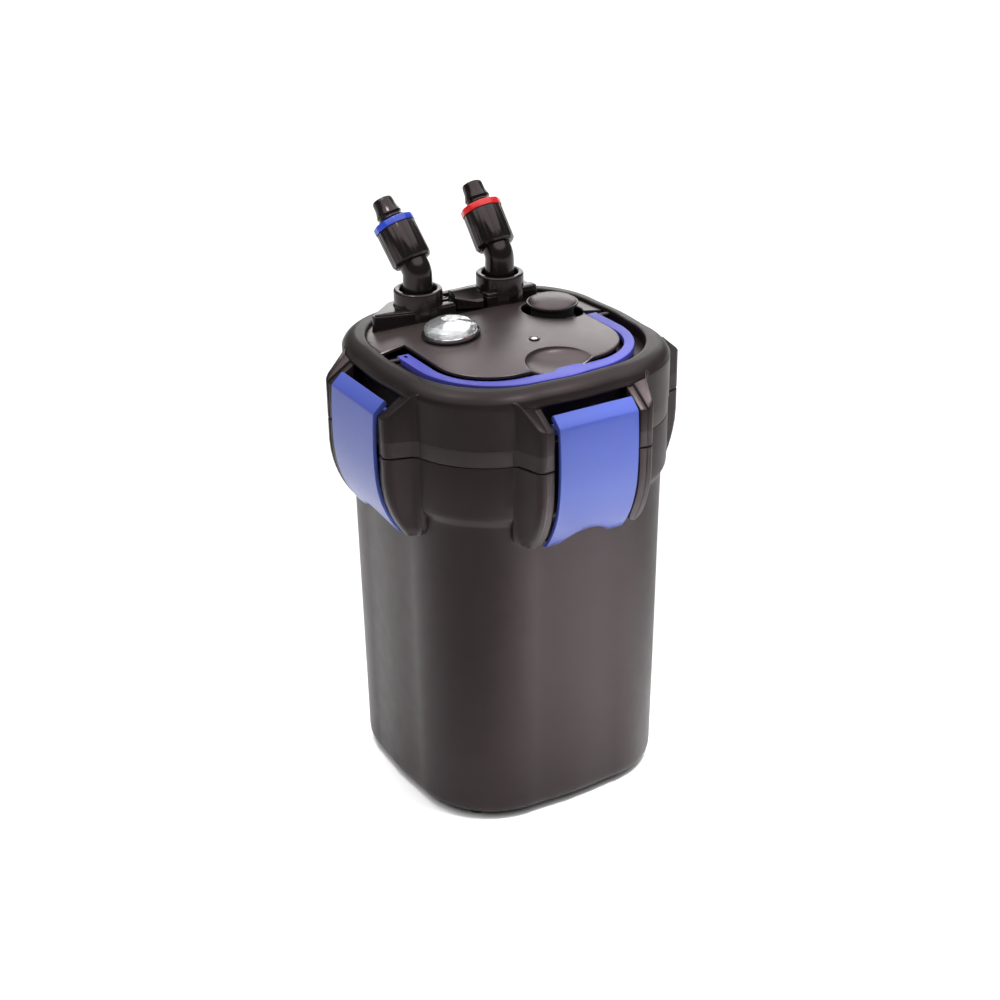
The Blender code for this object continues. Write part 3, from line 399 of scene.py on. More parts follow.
BODY = housing("body_satin", (0.0120, 0.0084, 0.0090), 0.42, 0.22)
BAND = housing("band_satin", (0.0180, 0.0146, 0.0148), 0.46, 0.25)
RIM = housing("rim_satin", (0.0095, 0.0070, 0.0069), 0.40, 0.20)
PLATE = housing("plate_gloss", (0.0280, 0.0210, 0.0205), 0.37, 0.75, vary=0.05, grain=0.000002)
TAP = housing("tap_gloss", (0.0078, 0.0063, 0.0062), 0.20, 0.42, grain=0.000004)
LATCH = plastic("latch_blue", (0.044, 0.062, 0.265), 0.33, vary=0.05, Specular_IOR_Level=0.42,
                Specular_Tint=(0.42, 0.55, 1.0, 1.0))
HANDLE = plastic("handle_blue", (0.062, 0.064, 0.330), 0.46, vary=0.05,
                 Specular_IOR_Level=0.30, Specular_Tint=(0.6, 0.6, 1.0, 1.0))
RING_BLUE = plastic("ring_blue", (0.018, 0.050, 0.420), 0.24, vary=0.06)
RING_RED = plastic("ring_red", (0.720, 0.010, 0.012), 0.26, vary=0.06)
WHITE = plastic("white_satin", (0.780, 0.780, 0.770), 0.34, vary=0.04)
GREY = plastic("grey_matt", (0.180, 0.185, 0.190), 0.50)
POTTED = plastic("potting_resin", (0.022, 0.025, 0.028), 0.28, cloud=60, grain=0.00006,
                 size=0.004)
RUBBER = plastic("rubber_matt", (0.012, 0.012, 0.012), 0.72, grain=0.00005)
STEEL = plastic("steel_drawn", (0.560, 0.560, 0.570), 0.28, vary=0.05, grain=0.00001,
                stretch=(0.05, 1, 1), Metallic=1.0)
CERAMIC = plastic("ceramic_bisque", (0.640, 0.570, 0.460), 0.82, vary=0.18, cloud=90,
                  grain=0.00025, size=0.0016)
SPONGE = plastic("open_foam", (0.030, 0.055, 0.140), 0.95, vary=0.35, cloud=420,
                 grain=0.0012, size=0.0026)
FLOSS = plastic("floss_fibre", (0.800, 0.810, 0.800), 0.90, vary=0.10, cloud=160,
                grain=0.0008, size=0.0013, stretch=(0.25, 1, 1), Sheen_Weight=0.4)
CLEAR = plastic("clear_window", (0.960, 0.965, 0.975), 0.04, vary=0.01, grain=0.000002,
                Transmission_Weight=0.92, IOR=1.46)


# Housing walls

HALF_STEPS = 12
ARC_STEPS = 16


def side_out(x, half, centre, bulge):
    """How far out the wall stands at a distance along its side."""
    if x <= centre:
        return half + bulge * (1 - (x / centre) ** 2) ** 2
    return centre + math.sqrt(max((half - centre) ** 2 - (x - centre) ** 2, 0))


def wall_ring(half, z, limit=None, centre=CORNER_CENTRE, bulge=BULGE):
    """A rounded square with bowed sides. The limit holds it back between the pillars."""
    radius = half - centre
    side = []
    for step in range(HALF_STEPS + 1):
        x = POCKET_HALF * step / HALF_STEPS
        out = side_out(x, half, centre, bulge)
        side.append((x, out if limit is None else min(out, limit)))
    side.append((POCKET_HALF + 0.00005, side_out(POCKET_HALF, half, centre, bulge)))
    first = math.asin(max(0.0, (POCKET_HALF - centre) / radius))
    for step in range(1, ARC_STEPS + 1):
        angle = first + (math.pi / 4 - first) * step / ARC_STEPS
        side.append((centre + radius * math.sin(angle), centre + radius * math.cos(angle)))
    whole = [(-x, out) for x, out in side[:0:-1]] + side[:-1]
    return [quarter(index) @ Vector((x, -out, z)) for index in range(4) for x, out in whole]


def curve_levels(knots, steps=4):
    return [tuple(point) for point in spline(knots, steps)]


# Plans of a pillar and of the thin strip between it and the latch, as (x, out) points
PILLAR_PLAN = [(0.0444, 0.1060), (0.0444, 0.1354), (0.0447, 0.1361), (0.0453, 0.1364)]
PILLAR_PLAN += curve_levels([(0.0462, 0.1364), (0.0493, 0.1353), (0.0519, 0.1325),
                             (0.0533, 0.1285), (0.0550, 0.1228), (0.0568, 0.1172),
                             (0.0582, 0.1147), (0.0612, 0.1126)])
PILLAR_PLAN.append((0.0612, 0.1060))
STRIP_PLAN = [(0.0384, 0.1060), (0.0384, 0.1345), (0.0387, 0.1351), (0.0393, 0.1354),
              (0.0440, 0.1358), (0.0452, 0.1358), (0.0452, 0.1060)]


def latch_face(z):
    """How far the latch's outer face stands from the axis at a height."""
    if z >= LATCH_BULGE_Z:
        return LATCH_FRONT - 0.0013 * ((z - LATCH_BULGE_Z) / (LATCH_FOLD_Z - LATCH_BULGE_Z)) ** 2
    return LATCH_FRONT - 0.0219 * ((LATCH_BULGE_Z - z) / 0.0750) ** 2.8


def pillar_rings(plan, levels):
    """Rings for (z, narrow, front, inset) levels, in front of the -Y side at +X."""
    rings = []
    root = 0.1120
    for height, narrow, front, shrink in levels:
        shape = inset(plan[::-1], shrink)[::-1] if shrink else plan
        ring = []
        for x, out in shape:
            if out > root:
                out = root + (out - root) * (front - root) / (PILLAR_FRONT - root)
            z = height(out) if callable(height) else height
            ring.append((PILLAR_MIDDLE + (x - PILLAR_MIDDLE) * narrow, -out, z))
        rings.append(ring)
    return rings


def add_pillars(shape, plan, levels):
    rings = pillar_rings(plan, levels)
    mirrored = [[(-x, y, z) for x, y, z in ring] for ring in rings]
    for index in range(4):
        shape.skin(rings, place=quarter(index))
        shape.skin(mirrored, place=quarter(index))


# Canister

def build_canister():
    shape = Shape()
    outer = curve_levels([(0.1000, UNDERSIDE), (0.1036, UNDERSIDE + 0.0006),
                          (0.1064, UNDERSIDE + 0.0026), (0.1078, UNDERSIDE + 0.0058),
                          (BODY_LOW_HALF, UNDERSIDE + 0.0100)], 3)
    outer += [(BODY_LOW_HALF + 0.0008, 0.0800), (0.1098, 0.1500), (0.1107, 0.2300),
              (BODY_HIGH_HALF, 0.2660)]
    outer += curve_levels([(BODY_HIGH_HALF, COLLAR_LOW - 0.0014), (0.1118, COLLAR_LOW + 0.0010),
                           (0.1146, COLLAR_HIGH - 0.0022), (COLLAR_HALF - 0.0005, COLLAR_HIGH),
                           (COLLAR_HALF - 0.0002, COLLAR_HIGH + 0.0030)], 4)
    outer += [(COLLAR_HALF, PARTING - 0.0008), (COLLAR_HALF - 0.0002, PARTING - 0.0003),
              (COLLAR_HALF - 0.0007, PARTING)]
    inner = [(0.1106, PARTING), (0.1102, PARTING - 0.0004), (0.1092, 0.3215), (0.1090, 0.3000),
             (0.1083, 0.2960), (0.1052, 0.0140), (0.1046, 0.0108), (0.1030, 0.0090),
             (0.1010, 0.0085)]
    rings = [wall_ring(half, z, 0.1142 if z > POCKET_LOW else None) for half, z in outer]
    rings += [wall_ring(half, z) for half, z in inner]
    shape.skin(rings)
    heights = []
    for step in range(9):
        angle = math.radians(84) * (1 - step / 8)
        z = PILLAR_ROUND_TOP - (PILLAR_ROUND_TOP - PILLAR_LOW) * math.sin(angle)
        heights.append((z, math.cos(angle)))
    heights += [(z, 1.0) for z in (POCKET_LOW, 0.2740, 0.2800, 0.2860, 0.2950, 0.3050,
                                   PARTING - 0.0012)]
    levels = [(z, narrow, min(PILLAR_FRONT, latch_face(z) - 0.0012), 0) for z, narrow in heights]
    levels.append((PARTING - 0.0006, 1.0, PILLAR_FRONT, 0.0005))
    for plan in (PILLAR_PLAN, STRIP_PLAN):
        add_pillars(shape, plan, levels)
    for index in range(4):
        block(shape, (-0.0140, -0.1182, 0.3030), (0.0140, -0.1100, 0.3090), place=quarter(index))
    for x in (-0.06, 0.06):
        for y in (-0.06, 0.06):
            shape.turned([(0.0, 0.0196), (0.0056, 0.0196), (0.0060, 0.0192), (0.0062, 0.0070)],
                         24, place=Matrix.Translation((x, y, 0)))
    shape.build("canister_body_moulding", "canister_body", BODY, "body_plastic", "canister")


def build_feet():
    foot_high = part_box("foot_front_left")[1].z
    profile = [(0.0, 0.0009), (0.0052, 0.0009), (0.0056, 0.0004), (0.0064, 0.0), (0.0082, 0.0),
               (0.0087, 0.0005), (0.0095, 0.0040), (0.0094, 0.0046), (0.0089, 0.0048),
               (0.0027, 0.0048), (0.0026, foot_high - 0.0004), (0.0022, foot_high),
               (0.0, foot_high)]
    for name in ("foot_front_left", "foot_rear_left", "foot_front_right", "foot_rear_right"):
        centre = Matrix.Translation((*middle(name), 0))
        shape = Shape().turned(profile, 48, place=centre)
        for turn in range(6):
            spoke = centre @ Matrix.Rotation(turn * math.pi / 3, 4, "Z")
            block(shape, (0.0058, -0.0004, 0.0001), (0.0078, 0.0004, 0.0012), 0.0002, spoke)
        shape.build(name + "_pad", "canister_body", RUBBER, "rubber", name)


# Head

def build_band():
    shape = Shape()
    low = BAND_LOW
    spigot, groove, groove_low, groove_high = 0.1084, 0.1052, 0.3090, 0.3150
    outer = [(spigot, DECK_LOW), (spigot, groove_low - 0.0002), (spigot - 0.0002, groove_low),
             (groove + 0.0002, groove_low), (groove, groove_low + 0.0002),
             (groove, groove_high - 0.0002), (groove + 0.0002, groove_high),
             (spigot - 0.0002, groove_high), (spigot, groove_high + 0.0002), (spigot, low),
             (0.1150, low), (0.1154, low + 0.0002), (0.1156, low + 0.0007), (0.1156, COVER_LOW)]
    inner = [(0.1124, COVER_LOW), (0.1124, 0.3275), (0.1018, 0.3275), (0.1018, DECK_LOW)]
    shape.skin([wall_ring(half, z) for half, z in outer + inner], wrap=True)
    levels = [(low + 0.0003, 1.0, PILLAR_FRONT, 0.0005), (low + 0.0008, 1.0, PILLAR_FRONT, 0),
              (COVER_LOW, 1.0, PILLAR_FRONT, 0)]
    for plan in (PILLAR_PLAN, STRIP_PLAN):
        add_pillars(shape, plan, levels)
    pump, pump_bore = middle("rotor_shaft"), 0.0123
    deck = in_plan(wall_ring(0.1030, 0))
    holes = [circle(pump_bore, pump)] + [circle(0.0110, socket) for socket in SOCKETS]
    plate(shape, deck, holes, lambda x, y: DECK_LOW + 0.0030, lambda x, y: DECK_LOW, 0.012)
    shape.turned([(pump_bore, 0.3035), (pump_bore, 0.3498), (0.0, 0.3498), (0.0, 0.3520),
                  (0.0142, 0.3520), (0.0150, 0.3512), (0.0150, 0.3035)], 48, wrap=True,
                 place=Matrix.Translation((*pump, 0)))
    for index in range(1, 5):
        at = Matrix.Translation((*middle("stator_screw_%d" % index), 0))
        shape.turned([(0.0019, 0.3050), (0.0019, 0.3117), (0.0040, 0.3117), (0.0042, 0.3113),
                      (0.0044, 0.3050)], 24, wrap=True, place=at)
    shape.build("head_band_and_deck", "head", BAND, "body_plastic", "head_base")


def cover_half_centre(half):
    if half > 0.1035:
        return CORNER_CENTRE
    return RIM_CENTRE if half > 0.0790 else 0.0320


def build_cover():
    shape = Shape()
    low = COVER_LOW
    shoulder = [(0.1162, WALL_TOP - 0.0005), (0.1161, WALL_TOP - 0.0001)]
    shoulder += curve_levels([(0.1158, WALL_TOP + 0.0003), (0.1141, WALL_TOP + 0.0033),
                              (0.1108, WALL_TOP + 0.0064), (0.1064, WALL_TOP + 0.0086),
                              (0.1028, RIM_TOP)], 6)
    crest = [(0.1018, RIM_TOP - 0.0001), (0.1009, RIM_TOP - 0.0006),
             (0.1004, RIM_TOP - 0.0016), (RIM_INNER, RIM_TOP - 0.0030)]
    rings = []
    for half, z in ((LID_HALF - 0.0003, low), (LID_HALF, low + 0.0003), (0.1162, POCKET_ROOF)):
        rings.append(wall_ring(half, z, POCKET_BACK))
    for half, z in [(0.1162, POCKET_ROOF + 0.0001)] + shoulder + crest:
        rings.append(wall_ring(half, z, None, cover_half_centre(half)))
    under = CHANNEL_FLOOR - 0.0042
    for half, z in ((RIM_INNER, CHANNEL_FLOOR + 0.0006), (0.0996, CHANNEL_FLOOR),
                    (0.0770, CHANNEL_FLOOR), (0.0770, under), (0.1032, under),
                    (0.1032, 0.3780), (0.1066, 0.3774), (0.1104, 0.3746), (0.1128, 0.3712)):
        rings.append(wall_ring(half, z, None, cover_half_centre(half)))
    pocket_inside = POCKET_BACK - 0.0028
    rings.append(wall_ring(0.1128, 0.3710, pocket_inside))
    rings.append(wall_ring(0.1130, low, pocket_inside))
    shape.skin(rings, wrap=True)

    def slope(drop):
        return lambda out: 0.3715 - (max(out, 0.1130) - 0.1175) * 0.82 - drop

    levels = [(low, 1.0, PILLAR_FRONT, 0.0), (low + 0.0005, 1.0, PILLAR_FRONT, 0),
              (slope(0.0012), 1.0, PILLAR_FRONT, 0), (slope(0.0004), 1.0, PILLAR_FRONT, 0.0004),
              (slope(0.0), 1.0, PILLAR_FRONT, 0.0012)]
    add_pillars(shape, PILLAR_PLAN, levels)
    levels[2:] = [(slope(0.0030), 1.0, PILLAR_FRONT, 0), (slope(0.0024), 1.0, PILLAR_FRONT, 0.0003),
                  (slope(0.0021), 1.0, PILLAR_FRONT, 0.0008)]
    add_pillars(shape, STRIP_PLAN, levels)
    shape.build("head_cover_moulding", "head", RIM, "body_plastic", "head_cover")


# Top plate and the controls on it

PRIMER = middle("primer_button")
STATUS = middle("status_lens")
FLOW_PLACE = (Matrix.Translation((-0.0415, 0.0125, 0.3844))
              @ Matrix.Rotation(math.radians(-4), 4, "Y")
              @ Matrix.Rotation(math.radians(0.3), 4, "X"))
CROWN_TOP = 0.3864
CROWN_FALL = 3.11
SCOOP = Vector((0.0040, -0.0800, 0.3846))
SCOOP_RADII = (0.0290, 0.0300, 0.0090)
BLOCK_PLAN = [(-0.0840, 0.0630), (-0.0540, 0.0545), (0.0660, 0.0545), (0.0660, 0.0835),
              (0.0560, 0.0905), (-0.0560, 0.0905), (-0.0840, 0.0670)]


def dome(x, y):
    """Height of the crowned top plate before anything is sunk into it.

    It falls with the half width of the rounded square through the point. That square's corners
    are centred at 0.3 of its half width, which gives a quadratic in the half width.
    """
    wide, narrow = max(abs(x), abs(y)), min(abs(x), abs(y))
    if narrow <= 0.3 * wide:
        half = wide - BULGE * wide / RIM_INNER * (1 - (narrow / (0.3 * wide + 1e-9)) ** 2)
    else:
        total, squares = wide + narrow, wide ** 2 + narrow ** 2
        half = (math.sqrt(0.36 * total ** 2 + 1.24 * squares) - 0.6 * total) / 0.62
    return CROWN_TOP - CROWN_FALL * half ** 2.6


def scoop_floor(x, y):
    """Height of the finger scoop, which stands clear of the plate outside its edge."""
    across = ((x - SCOOP.x) / SCOOP_RADII[0]) ** 2 + ((y - SCOOP.y) / SCOOP_RADII[1]) ** 2
    return SCOOP.z + (0.0060 if across >= 1 else -SCOOP_RADII[2] * math.sqrt(1 - across))


def scoop_creases():
    """Points on and beside the line where the scoop meets the plate."""
    points = []
    for x, y in circle(1, steps=120):
        inside, outside = 0.3, 1.0
        for _ in range(20):
            trial = (inside + outside) / 2
            spot = (SCOOP.x + SCOOP_RADII[0] * trial * x, SCOOP.y + SCOOP_RADII[1] * trial * y)
            if scoop_floor(*spot) < dome(*spot):
                inside = trial
            else:
                outside = trial
        points += [(SCOOP.x + SCOOP_RADII[0] * outside * scale * x,
                    SCOOP.y + SCOOP_RADII[1] * outside * scale * y)
                   for scale in (0.93, 0.97, 0.99, 1.0, 1.012, 1.03)]
    return points


def plate_top(x, y):
    height = dome(x, y)
    if math.hypot(x - SCOOP.x, y - SCOOP.y) < 1.1 * SCOOP_RADII[1]:
        height = smooth_min(height, scoop_floor(x, y))
    return height


def front_path(half, centre, left_end, right_end, steps=14):
    """The front three sides of a rounded square, from its left end to its right one."""
    radius = half - centre
    points = [(-half, left_end + (-centre - left_end) * step / 8) for step in range(8)]
    for corner_x, first in ((-centre, math.pi), (centre, 1.5 * math.pi)):
        for step in range(steps + 1):
            angle = first + step / steps * math.pi / 2
            points.append((corner_x + radius * math.cos(angle),
                           -centre + radius * math.sin(angle)))
        if corner_x < 0:
            for step in range(1, 8):
                x = -centre + 2 * centre * step / 8
                points.append((x, -half - BULGE * (1 - (x / centre) ** 2) ** 2))
    points += [(half, -centre + (right_end + centre) * step / 8) for step in range(1, 9)]
    return points


def plate_outline():
    """The top plate's edge: inside the handle's channel in front, out to the rim behind."""
    def bearing(point):
        return math.atan2(point[1], point[0])

    left_end, right_end = 0.0215, 0.0115
    inside = front_path(0.0790, 0.0320, left_end, right_end)
    rear = in_plan(wall_ring(RIM_INNER - GAP, 0, None, RIM_CENTRE))
    right = sorted((spot for spot in rear if spot[1] > right_end and spot[0] > 0), key=bearing)
    left = sorted((spot for spot in rear if spot[1] > left_end and spot[0] <= 0), key=bearing)
    return (inside + [(RIM_INNER - GAP, right_end)] + right + left
            + [(-RIM_INNER + GAP, left_end)])


def build_top_plate():
    shape = Shape()
    hole = rounded(BLOCK_PLAN, 0.0020, 3)
    holes = [inset(hole, -2 * GAP), circle(0.0258, PRIMER, 72), circle(0.0040, STATUS, 32)]
    holes.append(in_plan(FLOW_PLACE @ Vector((x, y, 0)) for x, y in circle(0.0199, steps=72)))

    def underside(x, y):
        return max(plate_top(x, y) - 0.0026, CHANNEL_FLOOR + 0.0001)

    plate(shape, plate_outline(), holes, plate_top, underside, 0.0024, 0.0007, scoop_creases())
    ports = [circle(0.0150, socket) for socket in SOCKETS]
    plate(shape, inset(hole, -0.0016), ports, lambda x, y: 0.3787, lambda x, y: 0.3752, 0.012)
    corners = ((-0.0020, -0.0262), (0.0056, -0.0262), (0.0048, -0.0222), (-0.0016, -0.0222))
    lug = rounded([(PRIMER[0] + x, PRIMER[1] + y) for x, y in corners], 0.0006, 3)
    shape.slab(lug, 0.3800, 0.3838, 0.0004)
    shape.build("top_plate_shell", "head", PLATE, "body_plastic", "top_plate", sharp=40)


def build_status_lens():
    place = Matrix.Translation((*STATUS, 0))
    Shape().turned([(0.0, 0.3815), (0.0026, 0.3815), (0.0026, 0.3862), (0.0022, 0.3868),
                    (0.0012, 0.3871), (0.0, 0.3872)], 40, place=place).build(
        "status_lens_dome", "head", WHITE, "white_plastic", "status_lens")
    Shape().turned([(0.0027, 0.3815), (0.0037, 0.3815), (0.0037, 0.3864), (0.0034, 0.3868),
                    (0.0030, 0.3868), (0.0027, 0.3864)], 40, True, place).build(
        "status_lens_ring", "head", TAP, "tap_plastic")


def build_flow_window():
    chamber = [(0.0, -0.0160), (0.0192, -0.0160), (0.0196, -0.0156), (0.0196, 0.0010),
               (0.0180, 0.0010), (0.0180, -0.0122), (0.0176, -0.0131), (0.0166, -0.0135),
               (0.0, -0.0135)]
    shape = Shape().turned(chamber, 72, place=FLOW_PLACE)
    for index in range(12):
        rib = FLOW_PLACE @ Matrix.Rotation(index * math.pi / 6, 4, "Z")
        block(shape, (0.0172, -0.0004, -0.0134), (0.0183, 0.0004, 0.0008), 0.0002, rib)
    shape.turned([(0.0, -0.0136), (0.0044, -0.0136), (0.0040, -0.0108), (0.0, -0.0104)], 40,
                 place=FLOW_PLACE)
    shape.build("flow_chamber_cup", "head", WHITE, "white_plastic", "flow_chamber")
    bezel = [(0.0193, 0.0019), (0.0232, 0.0019), (0.0236, 0.0022), (0.0236, 0.0029),
             (0.0233, 0.0035), (0.0226, 0.0044), (0.0222, 0.0046), (0.0214, 0.0047),
             (0.0193, 0.0046)]
    Shape().turned(bezel, 96, True, FLOW_PLACE).build(
        "flow_window_ring", "head", TAP, "tap_plastic", "flow_bezel")
    outer = [(0.0212, 0.0049), (0.0212, 0.0060), (0.0212, 0.0076)]
    outer += curve_levels([(0.0211, 0.0083), (0.0206, 0.0091), (0.0190, 0.0104),
                           (0.0160, 0.0120), (0.0122, 0.0134), (0.0084, 0.0142),
                           (0.0040, 0.0147), (0.0, 0.0148)], 4)
    inner = curve_levels([(0.0, 0.0129), (0.0070, 0.0122), (0.0130, 0.0106), (0.0168, 0.0090),
                          (0.0186, 0.0076), (0.0190, 0.0060), (0.0190, 0.0049)], 4)
    Shape().turned(outer + inner, 96, place=FLOW_PLACE).build(
        "flow_window_lens", "head", CLEAR, "clear_plastic", "flow_lens", sharp=50)
    wheel = Shape().turned([(0.0, -0.0100), (0.0022, -0.0100), (0.0030, -0.0094),
                            (0.0030, 0.0012), (0.0024, 0.0026), (0.0010, 0.0030),
                            (0.0, 0.0030)], 40, place=FLOW_PLACE)
    for index in range(5):
        blade = FLOW_PLACE @ Matrix.Rotation(2 * math.pi * index / 5, 4, "Z")
        rings = []
        for step in range(9):
            reach = 0.0018 + 0.0124 * step / 8
            taper = (step / 8) ** 2
            section = rectangle(-0.0006, -0.0080 + 0.0010 * taper, 0.0006, 0.0010 - 0.0016 * taper)
            rings.append([(reach, y, z) for y, z in section])
        wheel.skin(rings, place=blade)
    wheel.build("flow_wheel_spinner", "indicator", WHITE, "white_plastic", "flow_wheel")


def build_primer():
    place = Matrix.Translation((*PRIMER, 0))
    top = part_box("primer_button")[1].z
    cap = curve_levels([(0.0, top), (0.0050, top - 0.0001), (0.0100, top - 0.0007),
                        (0.0146, top - 0.0017), (0.0180, top - 0.0031), (0.0198, top - 0.0043)], 5)
    rim = [(0.0200, top - 0.0047), (0.0204, top - 0.0048), (0.0210, top - 0.0047),
           (0.0212, top - 0.0050), (0.0211, top - 0.0062), (0.0204, top - 0.0066),
           (0.0182, top - 0.0066)]
    skirt = [(0.0, 0.3892), (0.0177, 0.3892), (0.0176, 0.3664), (0.0174, 0.3660),
             (0.0160, 0.3660), (0.0160, 0.3870), (0.0, 0.3870)]
    Shape().turned(cap + rim + [(0.0, top - 0.0066)], 96, place=place).build(
        "primer_button_cap", "primer", PLATE, "tap_plastic", "primer_button")
    Shape().turned(skirt, 72, place=place).build(
        "primer_button_skirt", "primer", RUBBER, "tap_plastic")


# Carry handle

HANDLE_AXIS = Matrix.Translation((0, 0.0040, 0.3770))


def build_handle():
    low, high = (corner.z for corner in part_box("carry_handle"))
    outside = [(x * 0.972, y) for x, y in front_path(0.0956, 0.0250, 0.0085, 0.0085, 18)]
    inside = front_path(0.0826, 0.0320, 0.0085, 0.0085, 18)

    def ring(index, shrink=0.0, by=0.0):
        """A section of the bow, which the ends draw in and move along to round them off."""
        outer = Vector((outside[index][0], outside[index][1] + by, 0))
        inner = Vector((inside[index][0], inside[index][1] + by, 0))
        across = (inner - outer).normalized()
        width = (inner - outer).length
        corners = rounded(rectangle(shrink, low + shrink, width - shrink, high - shrink), 0.0009)
        return [outer + across * part + Vector((0, 0, z)) for part, z in corners]

    end = ((0.0008, 0.0), (0.0003, -0.0003), (0.0, -0.0009))
    rings = [ring(0, *step) for step in end]
    rings += [ring(index) for index in range(1, len(outside) - 1)]
    rings += [ring(-1, *step) for step in end[::-1]]
    shape = Shape().skin(rings)
    tab = rounded([(-0.0110, -0.0860), (0.0280, -0.0860), (0.0225, -0.0838), (0.0170, -0.0794),
                   (-0.0010, -0.0794), (-0.0060, -0.0838)],
                  (0.0, 0.0, 0.0030, 0.0030, 0.0030, 0.0030), 5)
    shape.slab(tab, 0.3774, high - 0.0001, 0.0007)
    pivots = Shape()
    for side in (-1, 1):
        turn = HANDLE_AXIS @ Matrix.Rotation(side * math.pi / 2, 4, "Y")
        pivots.turned([(0.0, 0.0920), (0.0022, 0.0920), (0.0022, 0.1044), (0.0018, 0.1048),
                       (0.0, 0.1048)], 24, place=turn)
    shape.build("carry_handle_bow", "handle", HANDLE, "blue_plastic", "carry_handle")
    pivots.build("carry_handle_pivots", "handle", TAP, "tap_plastic")
    # A dark patch set flush into the top of the blue bow: painted shade where the eyelet's hole would
    # be.
    eyelet_shade = rounded(rectangle(-0.0892, 0.0006, -0.0862, 0.0052), 0.0013, 5)
    Shape().slab(eyelet_shade, high - 0.0010, high, 0.0002).build(
        "handle_eyelet_painted_shade", "handle", TAP, "blue_plastic")


# Latches

def arch_low(x):
    """Height of the latch's lower edge, with the arch that fingers reach through."""
    radius, centre_z = 0.0295, 0.2315
    if abs(x) >= radius:
        return LATCH_LOW
    return smooth_max(LATCH_LOW, centre_z + math.sqrt(radius ** 2 - x ** 2))


def latch_section(x, shrink):
    """A closed ring round the latch's profile at one distance along it, drawn in by shrink."""
    low = arch_low(x) + shrink
    fold_out, fold_z = 0.1372 - shrink, LATCH_FOLD_Z
    top_out, top_z = 0.1279 - shrink * 0.2, LATCH_HIGH - shrink
    points = [(top_out - 0.0020, top_z - 0.0010), (top_out - 0.0008, top_z - 0.0001),
              (top_out + 0.0006, top_z - 0.0005), (fold_out - 0.0009, fold_z + 0.0008),
              (fold_out - 0.0002, fold_z), (fold_out + 0.0001, fold_z - 0.0012)]
    heights = [fold_z - 0.0024 + (low + 0.0022 - fold_z + 0.0024) * (step / 17) ** 0.9
               for step in range(18)]
    points += [(latch_face(z) - shrink, z) for z in heights]
    points.append((latch_face(low) - shrink - 0.0004, low + 0.0012))
    points.append((latch_face(low) - shrink - 0.0016, low))
    thick = 0.0032 - shrink * 1.4
    inner = [(latch_face(z) - shrink - thick * (0.62 + 0.38 * min(1, (z - low) / 0.01)), z)
             for z in heights[::-1]]
    inner[0] = (latch_face(low) - shrink - 0.0026, low + 0.0004)
    points += inner
    points += [(fold_out - 0.0034, 0.3546), (top_out - 0.0024, top_z - 0.0026)]
    return [(x, -out, z) for out, z in points]


def build_latches():
    across = [0.0, 0.004, 0.008, 0.012, 0.0150, 0.0175, 0.0195, 0.0208, 0.0218, 0.0226,
              0.0234, 0.0244, 0.0258, 0.0280, 0.0310, 0.0340, 0.0350]
    half = LATCH_HALF - 0.0002
    columns = [(x, 0.0) for x in across] + [(half - 0.0002, 0.0003), (half, 0.0010)]
    columns = [(-x, shrink) for x, shrink in columns[:0:-1]] + columns
    rings = [latch_section(x, shrink) for x, shrink in columns]
    hook = [[(x, -out, z) for out, z in ((0.1186, 0.2968), (0.1186, 0.3020), (0.1197, 0.3026),
                                         (0.1358, 0.3026), (0.1350, 0.2968))]
            for x in (-0.0130, 0.0130)]
    for index, name in enumerate(SIDES):
        place = quarter(index)
        shape = Shape().skin(rings, place=place)
        sideways = place @ Matrix.Translation((0, -0.1240, 0.3520)) @ Matrix.Rotation(
            math.pi / 2, 4, "Y")
        shape.turned([(0.0024, -0.0336), (0.0038, -0.0336), (0.0040, -0.0332), (0.0040, 0.0332),
                      (0.0038, 0.0336), (0.0024, 0.0336)], 40, True, sideways)
        for low in (-0.0320, -0.0015, 0.0290):
            block(shape, (low, -0.1352, 0.3484), (low + 0.0030, -0.1262, 0.3556), 0.0004, place)
        shape.skin(hook, place=place)
        shape.build("latch_%s_plate" % name, name + "_latch", LATCH, "blue_plastic",
                    "latch_" + name)


# Taps

ELBOW_LEAN = math.radians(40)
TAP_SIDES = (("left", SOCKETS[0], math.radians(102), RING_BLUE, "blue_plastic"),
             ("right", SOCKETS[1], math.radians(92), RING_RED, "red_plastic"))
BEND_Z = 0.4210
NUT_START = 0.0081
NUT_LENGTH = 0.0312
RING_HEIGHT = 0.0057
TAIL_TIP = 0.0654 - NUT_START


